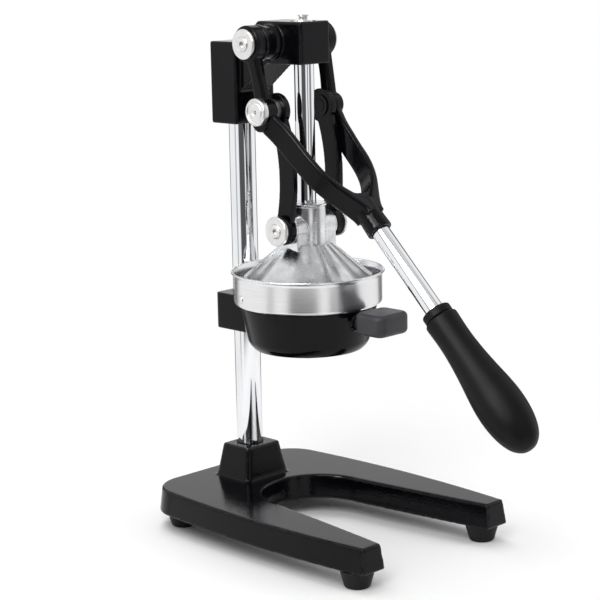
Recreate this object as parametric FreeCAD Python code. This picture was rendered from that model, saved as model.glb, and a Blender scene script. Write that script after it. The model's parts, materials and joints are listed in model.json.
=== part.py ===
"""Lever citrus juice press: a cast horseshoe base and column, a head that carries the lever and guides
the pressing rod, and a cup with a strainer and spout carried above the base.

Millimetres, +Z up. The lever points along -Y, the column stands behind, and left is -X.
Lengths along Y are written from the column's axis, and every piece is shifted to the origin on export."""
import FreeCAD, Part
import math
import os

V = FreeCAD.Vector

# Fits
SLIP = 0.05          # radial gap of a fixed pin, tube or screw in its hole
RUN = 0.06           # radial gap where one piece turns or slides in another
SEAT = 0.3           # gap between faces that pass each other

# Column and base
COLUMN_R = 11.0
COLUMN_TOP_Z = 396.0
BASE_BOTTOM_Z = 14.0
BASE_TOP_Z = 34.8
BASE_DRAFT = 2.5
BASE_EDGE_R = 1.2
BASE_REAR_Y = 38.0
BASE_CORNER_R = 32.0
BASE_REAR_HALF = 53.0
BASE_WIDE_HALF = 90.0
BASE_WIDE_Y = -104.0
LEG_TIP_Y = -209.8
LEG_TIP_OUTER_X = 83.0
LEG_TIP_INNER_X = 63.4
LEG_INNER_MID_X = 55.6
LEG_INNER_MID_Y = -155.0
CROTCH_R = 46.5
CROTCH_Y = -80.5
POCKET_WALL = 6.5
POCKET_DEPTH = 11.0
BOSS_TOP_Z = 62.5
BOSS_FOOT = (24.0, 18.6, -22.2)      # half width, rear and front faces
BOSS_TOP = (18.9, 14.6, -17.6)
BOSS_CORNER_R = 3.5
COLUMN_SEAT_Z = 40.0
STUD_R = 6.0
NUT_AF = 19.0
NUT_H = 7.5
WASHER_H = 1.6

# Feet
FOOT_TOP_R = 13.5
FOOT_BOTTOM_R = 10.0
FOOT_ROUND = 1.6
FOOT_FRONT = (73.9, -195.0)
FOOT_REAR = (64.0, 16.0)
FOOT_BOSS_R = 10.5
FOOT_SCREW_R = 2.5
FOOT_SCREW_HEAD_R = 5.0
FOOT_SCREW_HEAD_H = 2.6
FOOT_RECESS_Z = 6.0

# Head
HEAD_BLOCK_HALF = 21.8
HEAD_BLOCK_REAR = 13.2
HEAD_BLOCK_FRONT = -16.8
HEAD_BLOCK_BOTTOM_Z = 336.4
HEAD_BLOCK_TOP_Z = 403.3
HEAD_ARM_HALF = 16.5
HEAD_ARM_FRONT = -87.1
HEAD_ARM_DROP = 16.6
HEAD_ARM_BOTTOM_Z = HEAD_BLOCK_TOP_Z - HEAD_ARM_DROP
HEAD_ARM_TALL = 33.6
HEAD_ARM_TOP_Z = HEAD_ARM_BOTTOM_Z + HEAD_ARM_TALL
HEAD_ARM_SLOPE_Y = -38.3
HEAD_ARM_SLOPE_FOOT_Y = -24.0
GUSSET_Z = 363.0
GUSSET_FRONT_Y = -47.0
HEAD_EDGE_R = 1.5
CROSS_BOSS_R = 14.6
CROSS_BOSS_NECK_R = 13.2
CROSS_BOSS_NECK_W = 9.0
BUSH_WALL = 1.8
BUSH_H = 13.0
HEAD_SCREW_R = 3.0
HEAD_SCREW_L = 10.0
HEAD_SCREW_Z = (350.0, 376.0)

# Lever linkage, in the plane of the lever at rest
ROD_Y = -73.8
PIVOT = (-53.6, 403.8)               # lever pivot on the head, y and z
ELBOW = (-68.0, 351.5)               # link pivot on the lever
EAR = (ROD_Y, 256.0)                 # link pivot on the pressing hub
LEVER_DIP = 45.0                     # how far below level the lever points at rest, degrees
LEVER_AXIS_DROP = 3.54               # the lever's centre line passes this far below the elbow
LEVER_AXIS_LEAD = 1.06               # ways along that line count from this far ahead of the elbow

# Lever casting
PIVOT_BOSS_R = 14.5
PIVOT_BOSS_INNER_X = 34.0
PIVOT_BOSS_OUTER_X = 44.4
ELBOW_BOSS_R = 9.4
ELBOW_BOSS_INNER_X = 32.6
ELBOW_BOSS_OUTER_X = 42.0
ELBOW_LOBE = (3.5, -8.2)             # middle of the lobe behind the elbow, from the elbow in y and z
ELBOW_LOBE_R = 8.5
UPPER_ARM_BOW = 1.6
# sections of the upper arm: share of the way down to its foot, share of the bow, width along the arm's
# plane, inner and outer faces along X
UPPER_ARM_STATIONS = ((0.08, 0.4, 14.0, 34.3, 43.6), (0.3, 1.0, 10.4, 34.2, 43.4),
                      (0.6, 1.0, 10.4, 33.6, 42.3), (0.94, 0.2, 11.4, 32.9, 41.5))
UPPER_ARM_FOOT = (2.2, -1.0)         # where the upper arm ends, from the elbow in y and z
SOCKET_R = 10.4
SOCKET_NECK_R = 9.9
SOCKET_START = 98.0
SOCKET_END = 125.0
# sections of a fork arm: way along the lever's centre line, middle along X, thickness, and how far the
# lower and upper edges lie below and above the line
FORK_STATIONS = ((-4.0, 37.2, 8.8, 9.0, 6.2), (3.0, 36.4, 7.6, 11.0, 7.6), (11.0, 35.4, 6.4, 11.0, 8.0),
                 (20.0, 33.0, 6.2, 11.0, 8.2), (32.0, 31.6, 5.6, 11.0, 8.5), (45.0, 30.5, 5.5, 10.5, 8.5),
                 (58.0, 29.3, 5.5, 10.0, 9.0), (68.0, 27.2, 5.5, 9.8, 9.0), (78.0, 23.0, 5.8, 9.6, 9.0),
                 (86.0, 18.0, 6.5, 9.6, 9.0), (94.0, 12.0, 8.0, 9.8, 9.2), (102.0, 6.0, 10.0, 10.0, 9.6),
                 (109.0, 3.0, 12.0, 10.0, 9.8))
FORK_EDGE_R = 2.0
WEB_CROTCH_WAY = 91.0                # middle of the hollow edge between the arms
WEB_CORNER = (86.0, 15.6)            # where that edge runs into an arm: way and half spread
WEB_BELOW = 8.4
WEB_ABOVE = 7.0

# Lever tube and grip, as ways along the centre line from the elbow
TUBE_R = 7.5
TUBE_WALL = 1.6
TUBE_START = 103.0
TUBE_END = 276.0
COLLAR_START = 204.0
COLLAR_END = 211.2
COLLAR_R = 11.9
GRIP_START = 211.6
# the grip's outline: way along the centre line and radius
GRIP_CURVE = ((215.0, 13.6), (224.0, 13.2), (236.0, 13.1), (251.0, 14.2), (266.0, 16.0), (277.0, 17.7),
              (289.0, 19.0), (299.0, 19.2), (311.0, 18.2), (321.0, 15.6), (328.0, 12.0), (332.4, 7.6))
GRIP_TIP = 334.2
LEVER_SCREW_R = 2.5
LEVER_SCREW_BACK = 7.0               # from the socket's end

# Pins and caps
PIVOT_PIN_R = 6.0
PIVOT_PIN_INNER_X = 26.0
CAP_R = 11.9
CAP_H = 2.9
BUTTON_R = 5.6
BUTTON_H = 1.1
HEX_AF = 4.4
HEX_DEPTH = 2.2
ELBOW_PIN_R = 5.5
ELBOW_HEAD_R = 10.9
ELBOW_HEAD_H = 7.7
ELBOW_GROOVE_R = 8.6
ELBOW_WASHER_R = 8.8
EYE_PIN_INNER_X = 21.6
EYE_CLIP_R = 8.6
EYE_CLIP_H = 1.3

# Links
LINK_INNER_X = 23.4
LINK_THICK = 4.9
LINK_W = 16.0
LINK_BOW = 9.0
LINK_TOP_EYE_R = 13.6
LINK_LOW_EYE_R = 12.0
SPACER_R = 11.6
SPACER_GROOVE = 0.9
LOW_CAP_X = 32.6
LOW_PIN_R = 5.0

# Rod, hub and bell
ROD_R = 8.0
ROD_TOP_Z = 420.9
ROD_SCREW_R = 4.2
ROD_SCREW_H = 4.2
HUB_R = 11.0
HUB_TOP_Z = 275.5
HUB_LIP_R = 12.0
HUB_LIP_H = 1.6
HUB_FLOOR_Z = 243.0
EAR_INNER_X = 9.5
EAR_OUTER_X = 22.0
EAR_R = 11.8
EAR_HALF_DEPTH = 11.2
EAR_FOOT_Z = 236.0
EAR_WASHER_H = 1.0
EAR_PIN_INNER_X = 14.0
BELL_TOP_Z = 246.0
BELL_TOP_R = 20.0
BELL_RIM_R = 52.0
BELL_RIM_Z = 218.5
BELL_SKIRT_Z = 210.0
BELL_WALL = 3.1
BELL_DROP = 4.2                      # how far the inner cone lies below the outer one
BELL_CEILING_Z = 238.0
BELL_FLUTES = 12
BELL_FLUTE_DEPTH = 1.5
HUB_SCREW_R = 2.5
HUB_SCREW_DROP = 5.0                 # below the hub's top

# Cup, strainer and holder, around the rod's axis
CUP_SHEET = 0.9
CUP_R = 60.4
CUP_TOP_Z = 221.0
CUP_LIP_R = 62.6
CUP_LIP_BEAD_R = 0.9
CUP_FLARE_Z = 216.0
CUP_STEP_Z = 194.0
CUP_WELL_R = 47.8
CUP_WELL_Z = 178.0
CUP_TAPER_R = 40.1
CUP_TAPER_Z = 164.7
SPOUT_R = 12.9
SPOUT_FLOOR_Z = 158.8
SPOUT_TIP_Z = 149.4
RIVET_R = 3.1
RIVET_H = 1.1
RIVET_Z = 202.0
RIVET_ANGLES = (162.0, 342.0)
STRAINER_SHEET = 1.5
STRAINER_R = 47.4
STRAINER_FLANGE_GAP = 0.4            # between the strainer's flange and the cup's wall
STRAINER_CROWN_R = 26.0
STRAINER_GAP = 1.2                   # between the strainer's cone and the bell at rest
STRAINER_RIBS = 12
STRAINER_RIB_W = 2.4
STRAINER_RIB_H = 0.8
SLOT_W = 3.4
SLOT_INNER_R = 31.0
SLOT_OUTER_R = 41.0
HOLE_R = 1.9
HOLE_RING_R = 19.0
HOLDER_GAP = 0.35
HOLDER_TOP_R = 56.8
HOLDER_SHOULDER = (49.9, 164.0)      # radius and height where the wall turns in
HOLDER_SHOULDER_ROUND = (46.4, 158.6)
HOLDER_TURN = (39.0, 154.4)          # radius and height where the turn meets the floor
HOLDER_BOTTOM_R = 24.0
HOLDER_BOTTOM_Z = 151.4
SPOUT_GAP = 1.0
BRACKET_HALF = 21.0
BRACKET_REAR = 15.8
BRACKET_BOTTOM_Z = 163.6
BRACKET_CORNER_R = 4.0
BRACKET_SCREW_R = 3.0

# Steadying handle
PADDLE_HALF = 18.0
PADDLE_REAR_Y = -142.5
PADDLE_FRONT_Y = -170.0
PADDLE_EDGE_R = 3.2
PADDLE_CORNER_R = 6.0
PADDLE_STUD_R = 4.0
PADDLE_STUD_DROP = 9.4
PADDLE_STUD_Z = CUP_STEP_Z - PADDLE_STUD_DROP
PADDLE_BELOW_STUD = 6.0
PADDLE_TALL_REAR = 14.4
PADDLE_TALL_FRONT = 16.4
PADDLE_BOTTOM_Z = PADDLE_STUD_Z - PADDLE_BELOW_STUD
PADDLE_TOP_REAR_Z = PADDLE_BOTTOM_Z + PADDLE_TALL_REAR
PADDLE_TOP_FRONT_Z = PADDLE_BOTTOM_Z + PADDLE_TALL_FRONT
PADDLE_STUD_INSET = 12.0
PADDLE_BOSS_R = 7.0
PADDLE_BOSS_H = 2.6
PADDLE_NUT_AF = 13.0
PADDLE_NUT_H = 4.0

AXIS_X = V(1, 0, 0)
AXIS_Z = V(0, 0, 1)
LEVER_DIR = V(0, -math.cos(math.radians(LEVER_DIP)), -math.sin(math.radians(LEVER_DIP)))
LEVER_UP = V(0, -math.sin(math.radians(LEVER_DIP)), math.cos(math.radians(LEVER_DIP)))
LEVER_ZERO = V(0, ELBOW[0], ELBOW[1]) - LEVER_UP * LEVER_AXIS_DROP + LEVER_DIR * LEVER_AXIS_LEAD
SIDES = (("left", -1), ("right", 1))
CROSS_BOSS_END_X = PIVOT_BOSS_INNER_X - SEAT
LINK_OUTER_X = LINK_INNER_X + LINK_THICK
LEVER_SCREW_WAY = SOCKET_END - LEVER_SCREW_BACK
HUB_SCREW_Z = HUB_TOP_Z - HUB_SCREW_DROP
HOLDER_BOSS_Y = ROD_Y - HOLDER_TOP_R - PADDLE_BOSS_H
BELL_SLOPE = (BELL_TOP_Z - BELL_RIM_Z) / (BELL_RIM_R - BELL_TOP_R)


def tube_between(start, end, radius):
    """A solid cylinder from one point to another."""
    return Part.makeCylinder(radius, (end - start).Length, start, end - start)


def pin_x(radius, x0, x1, y, z):
    """A cylinder along X."""
    return tube_between(V(x0, y, z), V(x1, y, z), radius)


def revolved(profile, axis_point, axis=AXIS_Z):
    """A closed outline of points or edges turned about an axis."""
    return face_of(profile).revolve(axis_point, axis, 360.0)


def face_of(profile):
    """A face from a closed list of points, or from a list of edges."""
    if isinstance(profile[0], Part.Edge):
        return Part.Face(Part.Wire(Part.__sortEdges__(profile)))
    return Part.Face(Part.makePolygon(list(profile) + [profile[0]]))


def around_rod(pairs):
    """Turn (radius, height) pairs about the rod's axis."""
    return revolved([V(r, ROD_Y, z) for r, z in pairs], V(0, ROD_Y, 0))


def rounded_rect(centre, u, v, half_u, half_v, radius):
    """A rectangle with rounded corners in the plane of the directions u and v."""
    edges = []
    corners = ((1, 1), (-1, 1), (-1, -1), (1, -1))
    runs = []
    for a, b in corners:
        middle = centre + u * (a * (half_u - radius)) + v * (b * (half_v - radius))
        along_u = middle + u * (a * radius)
        along_v = middle + v * (b * radius)
        diagonal = middle + (u * a + v * b) * (radius / math.sqrt(2))
        first, last = (along_u, along_v) if a * b > 0 else (along_v, along_u)
        runs.append((first, diagonal, last))
    for i, (first, diagonal, last) in enumerate(runs):
        edges.append(Part.Arc(first, diagonal, last).toShape())
        edges.append(Part.makeLine(last, runs[(i + 1) % len(runs)][0]))
    return Part.Wire(edges)


def hex_prism(across_flats, start, direction, height):
    """A hexagonal prism that starts at a point and runs along a direction."""
    reach = across_flats / 2 / math.cos(math.radians(30))
    side = direction.cross(AXIS_Z if abs(direction.z) < 0.5 else AXIS_X)
    side.normalize()
    other = direction.cross(side)
    other.normalize()
    ring = [start + side * (reach * math.cos(math.radians(60 * i)))
            + other * (reach * math.sin(math.radians(60 * i))) for i in range(6)]
    return face_of(ring).extrude(direction * height)


def mirrored(shape):
    return shape.mirror(V(0, 0, 0), AXIS_X)


def both_sides(shape):
    return Part.makeCompound([shape, mirrored(shape)])


def edges_where(shape, test):
    """Edges whose every vertex passes a test on its point."""
    return [e for e in shape.Edges if all(test(v.Point) for v in e.Vertexes)]


def side_plate(points, half):
    """An outline of (y, z) points made a plate of this half width about the middle plane."""
    return face_of([V(-half, y, z) for y, z in points]).extrude(AXIS_X * (2 * half))


# Base and column

def base_outline(grow, z):
    """The horseshoe's outline, grown outwards from the metal by a margin."""
    rear = BASE_REAR_Y + grow
    corner_r = BASE_CORNER_R + grow
    corner_y = BASE_REAR_Y - BASE_CORNER_R
    corner_x = BASE_REAR_HALF + corner_r
    tip = LEG_TIP_Y - grow
    crotch = CROTCH_R - grow
    diagonal = corner_r / math.sqrt(2)

    def arc(sign, *points):
        return Part.Arc(*[V(sign * x, y, z) for x, y in points]).toShape()

    edges = [Part.makeLine(V(-BASE_REAR_HALF, rear, z), V(BASE_REAR_HALF, rear, z)),
             arc(1, (crotch, CROTCH_Y), (0, CROTCH_Y + crotch), (-crotch, CROTCH_Y))]
    for _, sign in SIDES:
        edges.append(arc(sign, (BASE_REAR_HALF, rear),
                         (BASE_REAR_HALF + diagonal, corner_y + diagonal), (corner_x, corner_y)))
        edges.append(arc(sign, (corner_x, corner_y), (BASE_WIDE_HALF + grow, BASE_WIDE_Y),
                         (LEG_TIP_OUTER_X + grow, tip)))
        edges.append(Part.makeLine(V(sign * (LEG_TIP_OUTER_X + grow), tip, z),
                                   V(sign * (LEG_TIP_INNER_X - grow), tip, z)))
        edges.append(arc(sign, (LEG_TIP_INNER_X - grow, tip),
                         (LEG_INNER_MID_X - grow, LEG_INNER_MID_Y), (crotch, CROTCH_Y)))
    return Part.Wire(Part.__sortEdges__(edges))


def foot_places():
    for end, (x, y) in (("front", FOOT_FRONT), ("rear", FOOT_REAR)):
        for side, sign in SIDES:
            yield end, side, sign * x, y


def base_casting():
    base = Part.makeLoft([base_outline(BASE_DRAFT, BASE_BOTTOM_Z), base_outline(0, BASE_TOP_Z)], True, True)
    base = base.makeFillet(BASE_EDGE_R, edges_where(base, lambda p: abs(p.z - BASE_TOP_Z) < 0.01))
    pocket = Part.Face(base_outline(-POCKET_WALL, BASE_BOTTOM_Z)).extrude(AXIS_Z * POCKET_DEPTH)
    for _, _, x, y in foot_places():
        pocket = pocket.cut(Part.makeCylinder(FOOT_BOSS_R, POCKET_DEPTH, V(x, y, BASE_BOTTOM_Z)))
    base = base.cut(pocket)
    sections = []
    for (half, rear, front), z in ((BOSS_FOOT, BASE_TOP_Z - 1), (BOSS_TOP, BOSS_TOP_Z)):
        sections.append(rounded_rect(V(0, (rear + front) / 2, z), AXIS_X, V(0, 1, 0), half,
                                     (rear - front) / 2, BOSS_CORNER_R))
    boss = Part.makeLoft(sections, True, True)
    boss = boss.makeFillet(BASE_EDGE_R, edges_where(boss, lambda p: abs(p.z - BOSS_TOP_Z) < 0.01))
    base = base.fuse(boss)
    bore = Part.makeCylinder(COLUMN_R + SLIP, BOSS_TOP_Z - COLUMN_SEAT_Z + 1, V(0, 0, COLUMN_SEAT_Z))
    stud_hole = Part.makeCylinder(STUD_R + SLIP, COLUMN_SEAT_Z, V(0, 0, BASE_BOTTOM_Z - 1))
    base = base.cut(bore).cut(stud_hole)
    for _, _, x, y in foot_places():
        base = base.cut(Part.makeCylinder(FOOT_SCREW_R + SLIP, POCKET_DEPTH, V(x, y, BASE_BOTTOM_Z - 1)))
    return base


def rubber_foot(x, y):
    slope = (FOOT_TOP_R - FOOT_BOTTOM_R) / BASE_BOTTOM_Z
    hole_r = FOOT_SCREW_R + SLIP
    recess_r = FOOT_SCREW_HEAD_R + 0.6
    top = BASE_BOTTOM_Z
    profile = [(hole_r, top), (FOOT_TOP_R, top), (FOOT_BOTTOM_R + slope * FOOT_ROUND, FOOT_ROUND),
               (FOOT_BOTTOM_R - FOOT_ROUND, 0), (recess_r, 0), (recess_r, FOOT_RECESS_Z),
               (hole_r, FOOT_RECESS_Z)]
    return revolved([V(x + r, y, z) for r, z in profile], V(x, y, 0))


def foot_screws():
    screws = []
    for _, _, x, y in foot_places():
        head = Part.makeCylinder(FOOT_SCREW_HEAD_R, FOOT_SCREW_HEAD_H,
                                 V(x, y, FOOT_RECESS_Z - FOOT_SCREW_HEAD_H))
        slot = Part.makeBox(2 * FOOT_SCREW_HEAD_R, 1.2, 1.2,
                            V(x - FOOT_SCREW_HEAD_R, y - 0.6, FOOT_RECESS_Z - FOOT_SCREW_HEAD_H))
        shank_top = BASE_BOTTOM_Z + POCKET_DEPTH - 3
        shank = Part.makeCylinder(FOOT_SCREW_R, shank_top - FOOT_RECESS_Z, V(x, y, FOOT_RECESS_Z))
        screws.append(head.cut(slot).fuse(shank).removeSplitter())
    return Part.makeCompound(screws)


def column():
    bar = Part.makeCylinder(COLUMN_R, COLUMN_TOP_Z - COLUMN_SEAT_Z, V(0, 0, COLUMN_SEAT_Z))
    rims = [e for e in bar.Edges if len(e.Vertexes) == 1]
    bar = bar.makeChamfer(0.6, rims)
    stud_bottom = BASE_BOTTOM_Z + 1
    stud = Part.makeCylinder(STUD_R, COLUMN_SEAT_Z - stud_bottom, V(0, 0, stud_bottom))
    return bar.fuse(stud)


def column_washer():
    z = BASE_BOTTOM_Z + POCKET_DEPTH - WASHER_H
    ring = Part.makeCylinder(NUT_AF * 0.62, WASHER_H, V(0, 0, z))
    return ring.cut(Part.makeCylinder(STUD_R + SLIP, WASHER_H, V(0, 0, z)))


def column_nut():
    z = BASE_BOTTOM_Z + POCKET_DEPTH - WASHER_H - NUT_H
    nut = hex_prism(NUT_AF, V(0, 0, z), AXIS_Z, NUT_H)
    return nut.cut(Part.makeCylinder(STUD_R + SLIP, NUT_H, V(0, 0, z)))


# Head

def head_casting():
    block = Part.makeBox(2 * HEAD_BLOCK_HALF, HEAD_BLOCK_REAR - HEAD_BLOCK_FRONT,
                         HEAD_BLOCK_TOP_Z - HEAD_BLOCK_BOTTOM_Z,
                         V(-HEAD_BLOCK_HALF, HEAD_BLOCK_FRONT, HEAD_BLOCK_BOTTOM_Z))
    block = block.makeFillet(HEAD_EDGE_R, block.Edges)
    back = HEAD_BLOCK_FRONT + HEAD_EDGE_R + 2
    arm = side_plate([(back, GUSSET_Z), (HEAD_BLOCK_FRONT, GUSSET_Z), (GUSSET_FRONT_Y, HEAD_ARM_BOTTOM_Z),
                      (HEAD_ARM_FRONT, HEAD_ARM_BOTTOM_Z), (HEAD_ARM_FRONT, HEAD_ARM_TOP_Z),
                      (HEAD_ARM_SLOPE_Y, HEAD_ARM_TOP_Z), (HEAD_ARM_SLOPE_FOOT_Y, HEAD_BLOCK_TOP_Z),
                      (back, HEAD_BLOCK_TOP_Z)], HEAD_ARM_HALF)
    arm = arm.makeFillet(HEAD_EDGE_R, edges_where(arm, lambda p: p.y < HEAD_ARM_FRONT + 0.01)
                         + edges_where(arm, lambda p: p.z > HEAD_ARM_TOP_Z - 0.01 and p.x > 0)
                         + edges_where(arm, lambda p: p.z > HEAD_ARM_TOP_Z - 0.01 and p.x < 0))
    head = block.fuse(arm)
    y, z = PIVOT
    neck_end = CROSS_BOSS_END_X - (CROSS_BOSS_END_X - HEAD_ARM_HALF - CROSS_BOSS_NECK_W) / 2
    neck_start = neck_end - CROSS_BOSS_NECK_W
    cone = 1.4
    for _, sign in SIDES:
        profile = [V(0, y, z), V(0, y, z + CROSS_BOSS_R), V(sign * neck_start, y, z + CROSS_BOSS_R),
                   V(sign * (neck_start + cone), y, z + CROSS_BOSS_NECK_R),
                   V(sign * (neck_end - cone), y, z + CROSS_BOSS_NECK_R),
                   V(sign * neck_end, y, z + CROSS_BOSS_R),
                   V(sign * CROSS_BOSS_END_X, y, z + CROSS_BOSS_R), V(sign * CROSS_BOSS_END_X, y, z)]
        head = head.fuse(revolved(profile, V(0, y, z), AXIS_X))
        head = head.cut(pin_x(PIVOT_PIN_R + SLIP, sign * PIVOT_PIN_INNER_X, sign * (CROSS_BOSS_END_X + 1),
                              y, z))
    head = head.cut(Part.makeCylinder(COLUMN_R + SLIP, COLUMN_TOP_Z - HEAD_BLOCK_BOTTOM_Z + 1,
                                      V(0, 0, HEAD_BLOCK_BOTTOM_Z - 1)))
    head = head.cut(Part.makeCylinder(ROD_R + BUSH_WALL + SLIP, HEAD_ARM_TOP_Z - HEAD_ARM_BOTTOM_Z + 2,
                                      V(0, ROD_Y, HEAD_ARM_BOTTOM_Z - 1)))
    for screw_z in HEAD_SCREW_Z:
        head = head.cut(pin_x(HEAD_SCREW_R + SLIP, COLUMN_R - 1, HEAD_BLOCK_HALF + 1, 0, screw_z))
    return head


def grub_screw(radius, start, direction, length, socket):
    """A headless screw whose socket end is the far one."""
    screw = tube_between(start, start + direction * length, radius)
    mouth = start + direction * (length - socket)
    return screw.cut(hex_prism(radius, mouth, direction, socket + 1))


def head_screws():
    return Part.makeCompound([grub_screw(HEAD_SCREW_R, V(COLUMN_R + SLIP, 0, z), AXIS_X, HEAD_SCREW_L, 3)
                              for z in HEAD_SCREW_Z])


def rod_bush(z):
    ring = Part.makeCylinder(ROD_R + BUSH_WALL, BUSH_H, V(0, ROD_Y, z))
    return ring.cut(Part.makeCylinder(ROD_R + RUN, BUSH_H, V(0, ROD_Y, z)))


def top_pivot_pin(sign):
    """Shoulder pin fixed in the head: the lever's boss turns on it."""
    y, z = PIVOT
    return pin_x(PIVOT_PIN_R, sign * (PIVOT_PIN_INNER_X + SEAT), sign * (PIVOT_BOSS_OUTER_X + SEAT), y, z)


def cap_with_screw(x, y, z, sign, radius, height):
    """A thick round washer held by a button-head screw with a hexagonal socket."""
    rim = 0.5
    outer = x + height
    button = outer + BUTTON_H
    ring = 0.5
    profile = [(x, 0), (x, radius), (outer - rim, radius), (outer, radius - rim), (outer, BUTTON_R + ring),
               (outer - ring, BUTTON_R + ring / 2), (outer - ring, BUTTON_R), (button - 0.5, BUTTON_R),
               (button, BUTTON_R - 0.9), (button, 0)]
    cap = revolved([V(sign * a, y, z + r) for a, r in profile], V(0, y, z), AXIS_X)
    return cap.cut(hex_prism(HEX_AF, V(sign * (button - HEX_DEPTH), y, z), AXIS_X * sign, HEX_DEPTH + 1))


def top_pivot_cap(sign):
    return cap_with_screw(PIVOT_BOSS_OUTER_X + SEAT, PIVOT[0], PIVOT[1], sign, CAP_R, CAP_H)


# Lever

def on_lever(way, spread=0.0, up=0.0):
    """A point by its way along the lever's centre line, its spread along X and its height above the line."""
    return LEVER_ZERO + LEVER_DIR * way + LEVER_UP * up + AXIS_X * spread


def fork_arm():
    """The right-hand arm, from the elbow in to the socket."""
    wires = []
    last = len(FORK_STATIONS) - 1
    for i, (way, middle, thick, below, above) in enumerate(FORK_STATIONS):
        before = FORK_STATIONS[max(i - 1, 0)]
        after = FORK_STATIONS[min(i + 1, last)]
        run = V(after[1] - before[1], after[0] - before[0], 0)
        run.normalize()
        across = AXIS_X * run.y - LEVER_DIR * run.x
        centre = on_lever(way, middle, (above - below) / 2)
        wires.append(rounded_rect(centre, across, LEVER_UP, thick / 2, (above + below) / 2, FORK_EDGE_R))
    return Part.makeLoft(wires, True, False)


def fork_web():
    """The web that closes the fork's crotch ahead of the socket."""
    corner_way, corner_x = WEB_CORNER
    end_way, end_x = FORK_STATIONS[-1][:2]
    side_way, side_x = FORK_STATIONS[-3][:2]

    def place(way, spread):
        return on_lever(way, spread, -WEB_BELOW)

    crotch = Part.Arc(place(corner_way, -corner_x), place(WEB_CROTCH_WAY, 0), place(corner_way, corner_x))
    edges = [crotch.toShape(),
             Part.makeLine(place(corner_way, corner_x), place(side_way, side_x)),
             Part.makeLine(place(side_way, side_x), place(end_way, end_x)),
             Part.makeLine(place(end_way, end_x), place(end_way, -end_x)),
             Part.makeLine(place(end_way, -end_x), place(side_way, -side_x)),
             Part.makeLine(place(side_way, -side_x), place(corner_way, -corner_x))]
    return face_of(edges).extrude(LEVER_UP * (WEB_BELOW + WEB_ABOVE))


def upper_arm():
    """The right-hand arm between the pivot and the elbow."""
    top = V(0, PIVOT[0], PIVOT[1])
    foot = V(0, ELBOW[0] + UPPER_ARM_FOOT[0], ELBOW[1] + UPPER_ARM_FOOT[1])
    run = foot - top
    run.normalize()
    forward = run.cross(AXIS_X)
    if forward.y > 0:
        forward = forward * -1
    wires = []
    for share, bow, width, inner, outer in UPPER_ARM_STATIONS:
        centre = top + (foot - top) * share + forward * (bow * UPPER_ARM_BOW) + AXIS_X * ((inner + outer) / 2)
        wires.append(rounded_rect(centre, AXIS_X, forward, (outer - inner) / 2, width / 2, FORK_EDGE_R))
    return Part.makeLoft(wires, True, False)


def boss_x(radius, x0, x1, y, z, edge):
    """A boss along X with rounded rims."""
    boss = pin_x(radius, x0, x1, y, z)
    return boss.makeFillet(edge, [e for e in boss.Edges if len(e.Vertexes) == 1])


def lever_fork():
    half = boss_x(PIVOT_BOSS_R, PIVOT_BOSS_INNER_X, PIVOT_BOSS_OUTER_X, PIVOT[0], PIVOT[1], 1.2)
    half = half.fuse(boss_x(ELBOW_BOSS_R, ELBOW_BOSS_INNER_X, ELBOW_BOSS_OUTER_X, ELBOW[0], ELBOW[1], 1.0))
    half = half.fuse(boss_x(ELBOW_LOBE_R, ELBOW_BOSS_INNER_X, ELBOW_BOSS_OUTER_X, ELBOW[0] + ELBOW_LOBE[0],
                            ELBOW[1] + ELBOW_LOBE[1], 1.0))
    half = half.fuse(upper_arm()).fuse(fork_arm())
    half = half.cut(pin_x(PIVOT_PIN_R + RUN, PIVOT_BOSS_INNER_X - 1, PIVOT_BOSS_OUTER_X + 1, *PIVOT))
    half = half.cut(pin_x(ELBOW_PIN_R + SLIP, LINK_OUTER_X, ELBOW_BOSS_OUTER_X + 3, *ELBOW))
    half = half.cut(pin_x(ELBOW_WASHER_R + SEAT, LINK_OUTER_X, ELBOW_BOSS_INNER_X, *ELBOW))
    neck = SOCKET_START + (SOCKET_END - SOCKET_START) * 0.45
    profile = [on_lever(SOCKET_START - 4), on_lever(SOCKET_START - 4, 0, SOCKET_NECK_R - 4),
               on_lever(SOCKET_START, 0, SOCKET_NECK_R), on_lever(neck, 0, SOCKET_NECK_R),
               on_lever(SOCKET_END - 3, 0, SOCKET_R), on_lever(SOCKET_END - 0.8, 0, SOCKET_R),
               on_lever(SOCKET_END, 0, SOCKET_R - 0.8), on_lever(SOCKET_END)]
    socket = revolved(profile, LEVER_ZERO, LEVER_DIR)
    fork = half.fuse(mirrored(half)).fuse(socket).fuse(fork_web())
    bore = tube_between(on_lever(TUBE_START), on_lever(SOCKET_END + 1), TUBE_R + SLIP)
    screw = tube_between(on_lever(LEVER_SCREW_WAY, 0, -TUBE_R), on_lever(LEVER_SCREW_WAY, 0, -SOCKET_R - 2),
                         LEVER_SCREW_R + SLIP)
    return fork.cut(bore).cut(screw)


def lever_screw():
    """The grub screw under the socket that holds the tube."""
    return grub_screw(LEVER_SCREW_R, on_lever(LEVER_SCREW_WAY, 0, -TUBE_R - SLIP), LEVER_UP * -1,
                      SOCKET_R - TUBE_R - 0.4, 1.2)


def lever_tube():
    tube = tube_between(on_lever(TUBE_START), on_lever(TUBE_END), TUBE_R)
    return tube.cut(tube_between(on_lever(TUBE_START - 1), on_lever(TUBE_END + 1), TUBE_R - TUBE_WALL))


def grip_collar():
    ring = tube_between(on_lever(COLLAR_START), on_lever(COLLAR_END), COLLAR_R)
    ring = ring.makeChamfer(0.8, [e for e in ring.Edges if len(e.Vertexes) == 1])
    return ring.cut(tube_between(on_lever(COLLAR_START - 1), on_lever(COLLAR_END + 1), TUBE_R + SLIP))


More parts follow.
